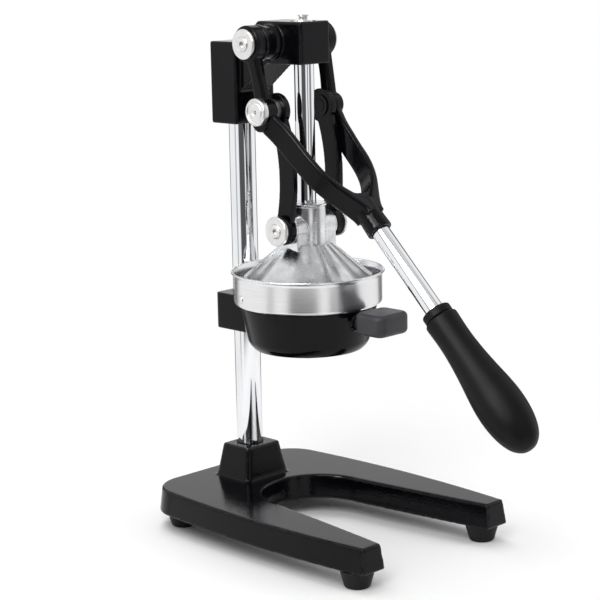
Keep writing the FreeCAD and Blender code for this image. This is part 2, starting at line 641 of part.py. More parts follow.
def lever_grip():
    """A grip with a slight waist, a swell near its end and a round end."""
    start = on_lever(GRIP_START, 0, GRIP_CURVE[0][1] - 1.2)
    shoulder = on_lever(GRIP_START + 1.0, 0, GRIP_CURVE[0][1])
    tip = on_lever(GRIP_TIP)
    curve = Part.BSplineCurve()
    curve.interpolate([shoulder] + [on_lever(way, 0, r) for way, r in GRIP_CURVE] + [tip],
                      InitialTangent=LEVER_DIR, FinalTangent=LEVER_UP * -1)
    edges = [Part.makeLine(on_lever(GRIP_START), start), Part.makeLine(start, shoulder),
             curve.toShape(), Part.makeLine(tip, on_lever(GRIP_START))]
    grip = revolved(edges, LEVER_ZERO, LEVER_DIR)
    return grip.cut(tube_between(on_lever(GRIP_START - 1), on_lever(TUBE_END + 1), TUBE_R + SLIP))


def elbow_pin(sign):
    """Pin fixed in the lever's elbow: flat-headed on the left, flush on the right."""
    y, z = ELBOW
    inner = LINK_OUTER_X + SEAT
    if sign > 0:
        pin = pin_x(ELBOW_PIN_R, inner, ELBOW_BOSS_OUTER_X, y, z)
        return pin.makeChamfer(0.5, [e for e in pin.Edges if len(e.Vertexes) == 1])
    face = ELBOW_BOSS_OUTER_X + ELBOW_HEAD_H
    rim = 0.8
    groove = 0.5
    profile = [(inner, 0), (inner, ELBOW_PIN_R), (ELBOW_BOSS_OUTER_X, ELBOW_PIN_R),
               (ELBOW_BOSS_OUTER_X, ELBOW_HEAD_R), (face - rim, ELBOW_HEAD_R), (face, ELBOW_HEAD_R - rim),
               (face, ELBOW_GROOVE_R + groove), (face - groove, ELBOW_GROOVE_R),
               (face, ELBOW_GROOVE_R - groove), (face, 0)]
    pin = revolved([V(sign * x, y, z + r) for x, r in profile], V(0, y, z), AXIS_X)
    return pin.cut(hex_prism(3.0, V(sign * (face - HEX_DEPTH), y, z), AXIS_X * sign, HEX_DEPTH + 1))


def ring_x(outer_r, inner_r, x0, x1, y, z):
    """A flat ring along X."""
    return pin_x(outer_r, x0, x1, y, z).cut(pin_x(inner_r, x0, x1, y, z))


def eye_pin(sign):
    """Stub pin in the link's upper eye, whose end meets the pin in the lever's elbow."""
    return pin_x(ELBOW_PIN_R, sign * EYE_PIN_INNER_X, sign * LINK_OUTER_X, *ELBOW)


def elbow_clip(sign):
    """Retaining ring on the stub pin's inner end, against the link."""
    return ring_x(EYE_CLIP_R, ELBOW_PIN_R + SLIP, sign * (LINK_INNER_X - EYE_CLIP_H), sign * LINK_INNER_X,
                  *ELBOW)


def elbow_washer(sign):
    """Washer on the elbow pin that fills the space between the lever's arm and the link."""
    return ring_x(ELBOW_WASHER_R, ELBOW_PIN_R + SLIP, sign * (LINK_OUTER_X + SEAT),
                  sign * (ELBOW_BOSS_INNER_X - SLIP), *ELBOW)


# Links

def link(sign):
    """A flat bowed bar with an eye at each end."""
    x0 = LINK_INNER_X
    x1 = LINK_OUTER_X
    top = V(x0, ELBOW[0], ELBOW[1])
    low = V(x0, EAR[0], EAR[1])
    run = low - top
    run.normalize()
    forward = run.cross(AXIS_X)
    if forward.y > 0:
        forward = forward * -1
    middle = (top + low) * 0.5 + forward * LINK_BOW
    half = LINK_W / 2
    front = Part.Arc(top + forward * half, middle + forward * half, low + forward * half).toShape()
    rear = Part.Arc(low - forward * half, middle - forward * half, top - forward * half).toShape()
    outline = [front, Part.makeLine(low + forward * half, low - forward * half), rear,
               Part.makeLine(top - forward * half, top + forward * half)]
    bar = face_of(outline).extrude(AXIS_X * LINK_THICK)
    bar = bar.fuse(pin_x(LINK_TOP_EYE_R, x0, x1, ELBOW[0], ELBOW[1]))
    bar = bar.fuse(pin_x(LINK_LOW_EYE_R, x0, x1, EAR[0], EAR[1]))
    bar = bar.cut(pin_x(ELBOW_PIN_R + SLIP, x0 - 1, x1 + 1, ELBOW[0], ELBOW[1]))
    bar = bar.cut(pin_x(LOW_PIN_R + RUN, x0 - 1, x1 + 1, EAR[0], EAR[1]))
    bar = bar.removeSplitter()
    return bar if sign > 0 else mirrored(bar)


def lower_spacer(sign):
    """Ridged spacer between the link's lower eye and its cap."""
    x0 = LINK_OUTER_X + SEAT
    x1 = LOW_CAP_X
    steps = 3
    pitch = (x1 - x0) / steps
    profile = [(x0, LOW_PIN_R + SLIP)]
    for i in range(steps):
        a = x0 + i * pitch
        profile += [(a, SPACER_R - SPACER_GROOVE), (a + pitch * 0.3, SPACER_R), (a + pitch * 0.8, SPACER_R)]
    profile += [(x1, SPACER_R - SPACER_GROOVE), (x1, LOW_PIN_R + SLIP)]
    return revolved([V(sign * x, EAR[0], EAR[1] + r) for x, r in profile], V(0, *EAR), AXIS_X)


def lower_pin(sign):
    """Shoulder pin that carries the link's lower eye, its end against the stub in the hub's ear."""
    return pin_x(LOW_PIN_R, sign * (EAR_OUTER_X + EAR_WASHER_H), sign * LOW_CAP_X, EAR[0], EAR[1])


def lower_cap(sign):
    return cap_with_screw(LOW_CAP_X, EAR[0], EAR[1], sign, CAP_R, CAP_H)


# Rod, hub and bell

def guide_rod():
    rod = Part.makeCylinder(ROD_R, ROD_TOP_Z - HUB_FLOOR_Z, V(0, ROD_Y, HUB_FLOOR_Z))
    rod = rod.makeChamfer(0.6, [e for e in rod.Edges if len(e.Vertexes) == 1 and e.Vertexes[0].Z > HUB_TOP_Z])
    return rod.cut(Part.makeCylinder(ROD_SCREW_R * 0.6 + SLIP, 14, V(0, ROD_Y, ROD_TOP_Z - 14)))


def rod_top_screw():
    shank_r = ROD_SCREW_R * 0.6
    neck_r = ROD_SCREW_R * 0.8
    head_top = ROD_TOP_Z + ROD_SCREW_H
    profile = [(0, ROD_TOP_Z - 12), (shank_r, ROD_TOP_Z - 12), (shank_r, ROD_TOP_Z), (neck_r, ROD_TOP_Z),
               (neck_r, head_top - ROD_SCREW_H * 0.3), (ROD_SCREW_R, head_top - ROD_SCREW_H * 0.25),
               (ROD_SCREW_R, head_top), (0, head_top)]
    screw = around_rod(profile)
    return screw.cut(hex_prism(ROD_SCREW_R, V(0, ROD_Y, ROD_TOP_Z + ROD_SCREW_H - 1.5), AXIS_Z, 2))


def fluted_ring(crest_r, z, depth):
    """A closed ring of straight runs whose radius steps in at each flute."""
    points = []
    for i in range(2 * BELL_FLUTES):
        angle = math.radians(i * 180.0 / BELL_FLUTES)
        r = crest_r - (depth if i % 2 else 0)
        points.append(V(r * math.cos(angle), ROD_Y + r * math.sin(angle), z))
    return Part.makePolygon(points + [points[0]])


def bell_inner_z(radius):
    """Height of the bell's inner cone at a radius."""
    return BELL_RIM_Z + (BELL_RIM_R - radius) * BELL_SLOPE - BELL_DROP


def press_bell():
    rim_inner = BELL_RIM_R - BELL_WALL
    cone = Part.makeLoft([fluted_ring(BELL_RIM_R, BELL_RIM_Z, BELL_FLUTE_DEPTH * 0.6),
                          fluted_ring(BELL_TOP_R, BELL_TOP_Z, BELL_FLUTE_DEPTH)], True, True)
    skirt = Part.makeCylinder(BELL_RIM_R, BELL_RIM_Z - BELL_SKIRT_Z, V(0, ROD_Y, BELL_SKIRT_Z))
    hub = around_rod([(0, BELL_CEILING_Z), (HUB_R, BELL_CEILING_Z), (HUB_R, HUB_TOP_Z - HUB_LIP_H),
                      (HUB_LIP_R, HUB_TOP_Z - HUB_LIP_H + 0.3), (HUB_LIP_R, HUB_TOP_Z - 0.4),
                      (HUB_LIP_R - 0.4, HUB_TOP_Z), (0, HUB_TOP_Z)])
    y, z = EAR
    bell = cone.fuse(skirt).fuse(hub)
    for _, sign in SIDES:
        lug = face_of([V(sign * EAR_INNER_X, y + share * EAR_HALF_DEPTH, height)
                       for share, height in ((-1, EAR_FOOT_Z), (1, EAR_FOOT_Z), (1, z), (-1, z))])
        lug = lug.extrude(AXIS_X * (sign * (EAR_OUTER_X - EAR_INNER_X)))
        bell = bell.fuse(lug).fuse(pin_x(EAR_R, sign * EAR_INNER_X, sign * EAR_OUTER_X, y, z))
    cone_r = BELL_RIM_R - (BELL_CEILING_Z + BELL_DROP - BELL_RIM_Z) / BELL_SLOPE
    inside = around_rod([(0, BELL_SKIRT_Z - 1), (rim_inner, BELL_SKIRT_Z - 1),
                         (rim_inner, bell_inner_z(rim_inner)), (cone_r, BELL_CEILING_Z), (0, BELL_CEILING_Z)])
    bell = bell.cut(inside)
    bell = bell.cut(Part.makeCylinder(ROD_R + SLIP, HUB_TOP_Z, V(0, ROD_Y, HUB_FLOOR_Z)))
    for _, sign in SIDES:
        bell = bell.cut(pin_x(LOW_PIN_R + SLIP, sign * EAR_PIN_INNER_X, sign * (EAR_OUTER_X + 1), y, z))
    screw_hole = tube_between(V(0, ROD_Y + ROD_R - 1, HUB_SCREW_Z), V(0, ROD_Y + HUB_R + 2, HUB_SCREW_Z),
                              HUB_SCREW_R + SLIP)
    return bell.cut(screw_hole).removeSplitter()


def hub_screw():
    """Grub screw behind the hub that holds the rod."""
    return grub_screw(HUB_SCREW_R, V(0, ROD_Y + ROD_R + SLIP, HUB_SCREW_Z), V(0, 1, 0),
                      HUB_R - ROD_R - 0.3, 1.2)


def ear_pin(sign):
    """Stub pin in the hub's ear, flush with the ear's washer."""
    return pin_x(LOW_PIN_R, sign * EAR_PIN_INNER_X, sign * (EAR_OUTER_X + EAR_WASHER_H), *EAR)


def ear_washer(sign):
    return ring_x(EAR_R, LOW_PIN_R + SLIP, sign * EAR_OUTER_X, sign * (EAR_OUTER_X + EAR_WASHER_H), *EAR)


# Cup, strainer and holder

def juice_cup():
    """A spun cup with a step that rests on the holder, a well below it and a spout."""
    t = CUP_SHEET
    flare_r = CUP_LIP_R - CUP_LIP_BEAD_R
    lip_z = CUP_TOP_Z - CUP_LIP_BEAD_R
    outer = [(SPOUT_R, SPOUT_TIP_Z), (SPOUT_R, SPOUT_FLOOR_Z), (CUP_TAPER_R, CUP_TAPER_Z),
             (CUP_WELL_R, CUP_WELL_Z), (CUP_WELL_R, CUP_STEP_Z), (CUP_R - t, CUP_STEP_Z),
             (CUP_R, CUP_STEP_Z + t), (CUP_R, CUP_FLARE_Z), (CUP_R + 0.9, CUP_FLARE_Z + 2.2),
             (flare_r, lip_z)]
    inner = [(flare_r - 0.5, lip_z + 0.7), (CUP_R - t + 0.8, CUP_FLARE_Z + 2.6),
             (CUP_R - t, CUP_FLARE_Z + 0.3), (CUP_R - t, CUP_STEP_Z + t), (CUP_WELL_R - t, CUP_STEP_Z + t),
             (CUP_WELL_R - t, CUP_WELL_Z + 0.3), (CUP_TAPER_R - 0.6, CUP_TAPER_Z + t),
             (SPOUT_R - t, SPOUT_FLOOR_Z + t), (SPOUT_R - t, SPOUT_TIP_Z)]
    cup = around_rod(outer + inner)
    bead = Part.makeTorus(flare_r, CUP_LIP_BEAD_R, V(0, ROD_Y, lip_z))
    cup = cup.fuse(bead)
    for angle in RIVET_ANGLES:
        cup = cup.cut(rivet_cylinder(angle, RIVET_R * 0.6 + SLIP, CUP_R - 4, CUP_R + 4))
    return cup


def rivet_cylinder(angle, radius, start_r, end_r):
    """A cylinder that points outwards from the rod's axis at the rivets' height."""
    out = V(math.cos(math.radians(angle)), math.sin(math.radians(angle)), 0)
    centre = V(0, ROD_Y, RIVET_Z)
    return tube_between(centre + out * start_r, centre + out * end_r, radius)


def cup_rivets():
    """Two opposite rivets through the cup's wall."""
    rivets = []
    inside = math.sqrt((CUP_R - CUP_SHEET) ** 2 - RIVET_R ** 2) - 0.01
    for angle in RIVET_ANGLES:
        head = rivet_cylinder(angle, RIVET_R, CUP_R + 0.02, CUP_R + RIVET_H)
        rims = [e for e in head.Edges if len(e.Vertexes) == 1]
        outermost = max(rims, key=lambda e: (e.CenterOfMass - V(0, ROD_Y, RIVET_Z)).Length)
        head = head.makeFillet(RIVET_H * 0.7, [outermost])
        shank = rivet_cylinder(angle, RIVET_R * 0.6, inside - RIVET_H, CUP_R + 0.5)
        tail = rivet_cylinder(angle, RIVET_R, inside - RIVET_H, inside)
        rivets.append(head.fuse(shank).fuse(tail))
    return Part.makeCompound(rivets)


def strainer_z(radius):
    """Height of the strainer's cone at a radius."""
    return bell_inner_z(radius) - STRAINER_GAP


def strainer_cone():
    """The reamer: a perforated cone with radial ribs on a stepped flange that rests in the cup."""
    t = STRAINER_SHEET
    seat = CUP_STEP_Z + CUP_SHEET
    shoulder_z = strainer_z(STRAINER_R) - 2.0
    crown_r = STRAINER_CROWN_R
    flange_r = CUP_R - CUP_SHEET - STRAINER_FLANGE_GAP
    crown_z = strainer_z(crown_r) - STRAINER_RIB_H
    top_z = BELL_CEILING_Z - STRAINER_GAP
    crown_z = min(crown_z, top_z - 0.8)
    outer = [(flange_r, seat), (flange_r, seat + t * 0.8), (STRAINER_R, seat + t * 0.8),
             (STRAINER_R, shoulder_z), (STRAINER_R - 1.4, strainer_z(STRAINER_R - 1.4) - STRAINER_RIB_H),
             (crown_r, crown_z), (crown_r * 0.5, top_z), (0, top_z)]
    inner = [(0, top_z - t), (crown_r * 0.5, top_z - t), (crown_r - 1, crown_z - t * 1.3),
             (STRAINER_R - t, shoulder_z - 0.6), (STRAINER_R - t, seat)]
    cone = around_rod(outer + inner)
    centre = V(0, ROD_Y, 0)
    rib_foot_r = STRAINER_R - 1.4
    for i in range(STRAINER_RIBS):
        angle = math.radians(i * 360.0 / STRAINER_RIBS)
        out = V(math.cos(angle), math.sin(angle), 0)
        side = V(-math.sin(angle), math.cos(angle), 0)

        def place(r, z, across):
            return centre + out * r + side * across + AXIS_Z * z

        rib = [place(rib_foot_r, strainer_z(rib_foot_r), 0), place(crown_r + 1, strainer_z(crown_r + 1), 0),
               place(crown_r + 1, strainer_z(crown_r + 1) - 1.4, 0),
               place(rib_foot_r, strainer_z(rib_foot_r) - 1.4, 0)]
        half = STRAINER_RIB_W / 2
        plate = face_of([p - side * half for p in rib]).extrude(side * STRAINER_RIB_W)
        cone = cone.fuse(plate)
    for i in range(STRAINER_RIBS):
        angle = math.radians((i + 0.5) * 360.0 / STRAINER_RIBS)
        out = V(math.cos(angle), math.sin(angle), 0)
        side = V(-math.sin(angle), math.cos(angle), 0)
        low = seat + 6
        slot_centre = centre + out * ((SLOT_INNER_R + SLOT_OUTER_R) / 2) + AXIS_Z * low
        slot = Part.Face(rounded_rect(slot_centre, out, side, (SLOT_OUTER_R - SLOT_INNER_R) / 2 + SLOT_W / 2,
                                      SLOT_W / 2, SLOT_W / 2 - 0.01)).extrude(AXIS_Z * 60)
        hole = Part.makeCylinder(HOLE_R, 60, centre + out * HOLE_RING_R + AXIS_Z * low)
        cone = cone.cut(slot).cut(hole)
    return cone


def bowl_holder():
    """The cast bowl that carries the cup, with its bracket round the column and the boss for the handle."""
    gap = HOLDER_GAP
    well_r = CUP_WELL_R + gap
    taper_r = CUP_TAPER_R + gap
    spout_r = SPOUT_R + SPOUT_GAP

    def place(r, z):
        return V(r, ROD_Y, z)

    turn = Part.Arc(place(*HOLDER_SHOULDER), place(*HOLDER_SHOULDER_ROUND), place(*HOLDER_TURN)).toShape()
    corners = [(HOLDER_BOTTOM_R, HOLDER_BOTTOM_Z), (0, HOLDER_BOTTOM_Z), (0, CUP_STEP_Z),
               (HOLDER_TOP_R, CUP_STEP_Z), HOLDER_SHOULDER]
    edges = [turn]
    last = HOLDER_TURN
    for corner in corners:
        edges.append(Part.makeLine(place(*last), place(*corner)))
        last = corner
    outside = revolved(edges, V(0, ROD_Y, 0))
    depth = BRACKET_REAR - ROD_Y
    bracket = Part.makeBox(2 * BRACKET_HALF, depth, CUP_STEP_Z - BRACKET_BOTTOM_Z,
                           V(-BRACKET_HALF, ROD_Y, BRACKET_BOTTOM_Z))
    rear_edges = edges_where(bracket, lambda p: p.y > BRACKET_REAR - 0.01)
    upright = [e for e in rear_edges if abs(e.Vertexes[0].X - e.Vertexes[1].X) < 0.01]
    bracket = bracket.makeFillet(BRACKET_CORNER_R, upright)
    stud_y = HOLDER_BOSS_Y
    boss = tube_between(V(0, stud_y, PADDLE_STUD_Z), V(0, ROD_Y - well_r + 1, PADDLE_STUD_Z), PADDLE_BOSS_R)
    holder = outside.fuse(bracket).fuse(boss)
    well = around_rod([(0, CUP_STEP_Z + 1), (well_r, CUP_STEP_Z + 1), (well_r, CUP_WELL_Z - gap),
                       (taper_r, CUP_TAPER_Z - gap), (spout_r, SPOUT_FLOOR_Z - gap),
                       (spout_r, HOLDER_BOTTOM_Z - 10), (0, HOLDER_BOTTOM_Z - 10)])
    holder = holder.cut(well)
    holder = holder.cut(Part.makeCylinder(COLUMN_R + SLIP, 60, V(0, 0, BRACKET_BOTTOM_Z - 10)))
    holder = holder.cut(tube_between(V(0, stud_y - 1, PADDLE_STUD_Z), V(0, ROD_Y - well_r + 2, PADDLE_STUD_Z),
                                     PADDLE_STUD_R + SLIP))
    screw_z = (CUP_STEP_Z + BRACKET_BOTTOM_Z) / 2
    holder = holder.cut(tube_between(V(0, COLUMN_R - 1, screw_z), V(0, BRACKET_REAR + 1, screw_z),
                                     BRACKET_SCREW_R + SLIP))
    return holder


def bracket_screw():
    screw_z = (CUP_STEP_Z + BRACKET_BOTTOM_Z) / 2
    return grub_screw(BRACKET_SCREW_R, V(0, COLUMN_R + SLIP, screw_z), V(0, 1, 0),
                      BRACKET_REAR - COLUMN_R - 0.4, 2.0)


# Steadying handle

def paddle_stud():
    start = V(0, ROD_Y - CUP_WELL_R - HOLDER_GAP - 0.6, PADDLE_STUD_Z)
    return tube_between(start, V(0, PADDLE_REAR_Y - PADDLE_STUD_INSET, PADDLE_STUD_Z), PADDLE_STUD_R)


def paddle_nut():
    start = V(0, HOLDER_BOSS_Y, PADDLE_STUD_Z)
    nut = hex_prism(PADDLE_NUT_AF, start, V(0, -1, 0), PADDLE_NUT_H)
    return nut.cut(tube_between(start, start + V(0, -PADDLE_NUT_H, 0), PADDLE_STUD_R + SLIP))


def paddle_handle():
    """A flat rounded block, slightly thicker at its free end."""
    outline = [(PADDLE_REAR_Y, PADDLE_BOTTOM_Z), (PADDLE_FRONT_Y, PADDLE_BOTTOM_Z),
               (PADDLE_FRONT_Y, PADDLE_TOP_FRONT_Z), (PADDLE_REAR_Y, PADDLE_TOP_REAR_Z)]
    paddle = side_plate(outline, PADDLE_HALF)
    upright = [e for e in paddle.Edges if abs(e.Vertexes[0].Z - e.Vertexes[1].Z) > 5]
    paddle = paddle.makeFillet(PADDLE_CORNER_R, upright)
    paddle = paddle.makeFillet(PADDLE_EDGE_R, [e for e in paddle.Edges
                                               if abs(e.Vertexes[0].Z - e.Vertexes[-1].Z) < 5])
    hole_end = V(0, PADDLE_REAR_Y - PADDLE_STUD_INSET, PADDLE_STUD_Z)
    return paddle.cut(tube_between(V(0, PADDLE_REAR_Y + 1, PADDLE_STUD_Z), hole_end, PADDLE_STUD_R + SLIP))


def all_parts():
    parts = {"base_casting": base_casting(), "foot_screws": foot_screws(), "column": column(),
             "column_washer": column_washer(), "column_nut": column_nut(),
             "head_casting": head_casting(), "head_screws": head_screws(),
             "rod_bush_lower": rod_bush(HEAD_ARM_BOTTOM_Z),
             "rod_bush_upper": rod_bush(HEAD_ARM_TOP_Z - BUSH_H - 0.6),
             "lever_fork": lever_fork(), "lever_screw": lever_screw(), "lever_tube": lever_tube(),
             "grip_collar": grip_collar(), "lever_grip": lever_grip(),
             "guide_rod": guide_rod(), "rod_top_screw": rod_top_screw(), "press_bell": press_bell(),
             "hub_screw": hub_screw(), "juice_cup": juice_cup(), "cup_rivets": cup_rivets(),
             "strainer_cone": strainer_cone(), "bowl_holder": bowl_holder(), "bracket_screw": bracket_screw(),
             "paddle_stud": paddle_stud(), "paddle_nut": paddle_nut(), "paddle_handle": paddle_handle()}
    for end, side, x, y in foot_places():
        parts["foot_%s_%s" % (end, side)] = rubber_foot(x, y)
    for side, sign in SIDES:
        parts["top_pivot_pin_" + side] = top_pivot_pin(sign)
        parts["top_pivot_cap_" + side] = top_pivot_cap(sign)
        parts["elbow_pin_" + side] = elbow_pin(sign)
        parts["eye_pin_" + side] = eye_pin(sign)
        parts["elbow_clip_" + side] = elbow_clip(sign)
        parts["elbow_washer_" + side] = elbow_washer(sign)
        parts["link_" + side] = link(sign)
        parts["lower_spacer_" + side] = lower_spacer(sign)
        parts["lower_pin_" + side] = lower_pin(sign)
        parts["lower_cap_" + side] = lower_cap(sign)
        parts["ear_pin_" + side] = ear_pin(sign)
        parts["ear_washer_" + side] = ear_washer(sign)
    return parts


def column_shift():
    """Where the column's axis stands when the origin is at the middle of the whole press."""
    front = min(on_lever(way, 0, r).y for way, r in GRIP_CURVE)
    rear = BASE_REAR_Y + BASE_DRAFT
    return -(front + rear) / 2


def main():
    os.makedirs("parts", exist_ok=True)
    shift = V(0, column_shift(), 0)
    for name, shape in sorted(all_parts().items()):
        shape = shape.copy()
        shape.translate(shift)
        shape.exportStep("parts/%s.step" % name)
        print(name, "solids", len(shape.Solids), "valid", shape.isValid(), "volume", round(shape.Volume))
    print("column axis at y", round(shift.y, 5))


main()
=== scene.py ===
# %% [markdown]
# The object is a hand press worked by a lever: a black cast horseshoe base, a chromed column, a cast
# head, a forked lever and a bell that the lever drives down into a spouted cup.
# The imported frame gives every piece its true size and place, so the lesson starts by loading it. What
# follows dresses that frame: round pieces are turned anew with fine edges, cast pieces get soft
# edges, and every surface gets a finish made of nodes.

# %% Load the frame
import json
import math

import bpy
from mathutils import Matrix, Vector


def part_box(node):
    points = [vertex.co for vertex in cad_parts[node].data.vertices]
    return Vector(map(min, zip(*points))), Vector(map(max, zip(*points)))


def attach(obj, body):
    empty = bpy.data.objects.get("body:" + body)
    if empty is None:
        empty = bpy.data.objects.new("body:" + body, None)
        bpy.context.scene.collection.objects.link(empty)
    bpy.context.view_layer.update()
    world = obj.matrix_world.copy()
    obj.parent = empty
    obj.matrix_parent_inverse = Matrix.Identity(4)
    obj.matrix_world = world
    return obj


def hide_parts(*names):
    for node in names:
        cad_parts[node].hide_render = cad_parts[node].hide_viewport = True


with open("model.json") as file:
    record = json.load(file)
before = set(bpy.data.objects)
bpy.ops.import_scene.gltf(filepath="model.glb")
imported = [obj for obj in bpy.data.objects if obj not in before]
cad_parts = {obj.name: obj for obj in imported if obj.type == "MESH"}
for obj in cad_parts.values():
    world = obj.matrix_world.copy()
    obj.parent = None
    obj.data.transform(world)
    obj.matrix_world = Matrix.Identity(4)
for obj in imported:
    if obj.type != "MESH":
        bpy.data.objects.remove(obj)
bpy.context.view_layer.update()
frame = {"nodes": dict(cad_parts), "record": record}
nodes = frame["nodes"]
slot_of = {row["node"]: row["material_slot"] for row in frame["record"]["subparts"]}
body_of = {name: body for body, names in frame["record"]["behaviour"]["bodies"].items() for name in names}
MM = 0.001

# %% [markdown]
# All lengths below are in millimetres from the column's axis, because that is how such a press is
# measured. The column's own box says where that axis stands in the frame, and one small function turns
# a length triple into a place in metres. A second one counts along the lever's centre line, which dips
# 45 degrees below level at rest and starts just below the elbow.

# %% Places
low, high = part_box("column")
COLUMN_Y = (low.y + high.y) / 2 / MM


def at(x, y, z):
    return Vector((x, y + COLUMN_Y, z)) * MM


ROD_Y = -73.8
ELBOW_Y = -68.0
ELBOW_Z = 351.5
DIP = math.radians(45)
LEVER_DIR = Vector((0, -math.cos(DIP), -math.sin(DIP)))
LEVER_UP = Vector((0, -math.sin(DIP), math.cos(DIP)))
LEVER_AXIS_DROP = 3.54
LEVER_AXIS_LEAD = 1.06
lever_zero = Vector((0, ELBOW_Y, ELBOW_Z)) - LEVER_UP * LEVER_AXIS_DROP + LEVER_DIR * LEVER_AXIS_LEAD


def on_lever(way):
    point = lever_zero + LEVER_DIR * way
    return at(point.x, point.y, point.z)


print("column axis at y", round(COLUMN_Y, 2), "mm, lever starts at", [round(c, 1) for c in lever_zero])

# %% [markdown]
# The camera stands where the picture was taken from: about 1.5 m away, an eighth of a turn to the left
# of the front and a little above, with a long lens. Its turn is written as a matrix whose columns are
# its right, up and backward directions, which avoids any doubt about the order of angles.

# %% Camera
FOCAL_MM = 110.01
SENSOR_MM = 36.0
CAMERA_PLACE = at(-1034.4, -1109.8, 489.4)
CAMERA_TURN = Matrix(((0.708032, 0.152546, -0.689507),
                      (-0.705914, 0.126084, -0.696985),
                      (-0.019386, 0.980221, 0.196956)))
camera_data = bpy.data.cameras.new("camera")
camera_data.lens = FOCAL_MM
camera_data.sensor_width = SENSOR_MM
camera_data.clip_start = 0.05
camera = bpy.data.objects.new("camera", camera_data)
bpy.context.scene.collection.objects.link(camera)
camera.matrix_world = Matrix.Translation(CAMERA_PLACE) @ CAMERA_TURN.to_4x4()
bpy.context.scene.camera = camera
print("camera at", [round(c, 3) for c in camera.location])

# %% [markdown]
# Finishes come first, because each piece takes one as it is made. A finish here is a Principled shader
# fed by small node groups. A group is built once, and each material places it with its own numbers.
# The first helpers add a node and link it in one line, which keeps the recipes below readable.

# %% Node helpers


def add_node(tree, kind, values=None, **settings):
    node = tree.nodes.new(kind)
    for key, value in settings.items():
        setattr(node, key, value)
    for key, value in (values or {}).items():
        if isinstance(value, bpy.types.NodeSocket):
            tree.links.new(value, node.inputs[key])
        else:
            node.inputs[key].default_value = value
    return node


def new_group(name, inputs, outputs):
    tree = bpy.data.node_groups.new(name, "ShaderNodeTree")
    for label, value in inputs:
        socket = tree.interface.new_socket(label, in_out="INPUT", socket_type="NodeSocketFloat")
        socket.default_value = value
    for label in outputs:
        tree.interface.new_socket(label, in_out="OUTPUT", socket_type="NodeSocketFloat")
    return tree, add_node(tree, "NodeGroupInput").outputs, add_node(tree, "NodeGroupOutput").inputs


def maths(tree, operation, first, second=0.0):
    return add_node(tree, "ShaderNodeMath", {0: first, 1: second}, operation=operation).outputs[0]


def spread(tree, value, low, high, to_low=0.0, to_high=1.0, curve="LINEAR"):
    values = {"Value": value, "From Min": low, "From Max": high, "To Min": to_low, "To Max": to_high}
    return add_node(tree, "ShaderNodeMapRange", values, interpolation_type=curve).outputs["Result"]


def noise(tree, place, scale, detail):
    values = {"Vector": place, "Scale": scale, "Detail": detail}
    return add_node(tree, "ShaderNodeTexNoise", values).outputs["Fac"]


def own_place(tree):
    """Where a point lies on its own piece, in metres."""
    return add_node(tree, "ShaderNodeTexCoord").outputs["Object"]


print("node helpers ready")

# %% [markdown]
# A Mix node has sockets for numbers and for colours side by side, under the same names, so they are
# reached by their place in the row. Two more helpers hide that.

# %% Mixing helpers
NUMBER_A, NUMBER_B, NUMBER_OUT = 2, 3, 0
COLOUR_A, COLOUR_B, COLOUR_OUT = 6, 7, 2


def mix_numbers(tree, share, first, second):
    values = {0: share, NUMBER_A: first, NUMBER_B: second}
    return add_node(tree, "ShaderNodeMix", values, data_type="FLOAT").outputs[NUMBER_OUT]


def mix_colours(tree, share, first, second):
    values = {0: share, COLOUR_A: first, COLOUR_B: second}
    return add_node(tree, "ShaderNodeMix", values, data_type="RGBA").outputs[COLOUR_OUT]


print("mixing helpers ready")

# %% [markdown]
# Black enamel on cast iron is never flat: the paint levels into shallow dimples a couple of
# millimetres across. A smooth Voronoi pattern and a noise, added, give such dimples, and a slower noise
# says where the paint is a little thicker. The group puts out a height for Bump and a mask.

# %% Hammered group
MM_IN_METRE = 1000.0
tree, inp, out = new_group("hammered", [("Size", 2.2)], ["Height", "Mask"])
place = own_place(tree)
per_metre = maths(tree, "DIVIDE", MM_IN_METRE, inp["Size"])
cells = add_node(tree, "ShaderNodeTexVoronoi", {"Vector": place, "Scale": per_metre, "Smoothness": 0.8},
                 feature="SMOOTH_F1").outputs["Distance"]
dimple = maths(tree, "ADD", maths(tree, "MULTIPLY", cells, 0.55),
               maths(tree, "MULTIPLY", noise(tree, place, per_metre, 2.0), 0.8))
tree.links.new(dimple, out["Height"])
tree.links.new(spread(tree, noise(tree, place, 28.0, 3.0), 0.35, 0.65), out["Mask"])
print("group", tree.name)

# %% [markdown]
# Cast metal and moulded plastic share a fine, even grain. Two noises of different size, added, look
# less mechanical than one. The mask is a slow noise for handling marks, which change the roughness.

# %% Grain group
BROAD_IN_METRE = 260.0
tree, inp, out = new_group("fine_grain", [("Size", 0.4), ("Patch", 20.0)], ["Height", "Mask"])
place = own_place(tree)
fine = noise(tree, place, maths(tree, "DIVIDE", MM_IN_METRE, inp["Size"]), 3.0)
broad = noise(tree, place, maths(tree, "DIVIDE", BROAD_IN_METRE, inp["Size"]), 2.0)
patch = noise(tree, place, maths(tree, "DIVIDE", MM_IN_METRE, inp["Patch"]), 4.0)
tree.links.new(maths(tree, "ADD", maths(tree, "MULTIPLY", fine, 0.6), maths(tree, "MULTIPLY", broad, 0.4)),
               out["Height"])
tree.links.new(spread(tree, patch, 0.3, 0.7), out["Mask"])
print("group", tree.name)

# %% [markdown]
# Spun and brushed sheet carries fine lines that run round the cup. Noise squeezed hard along Z and
# left long across gives such lines on any upright round piece.

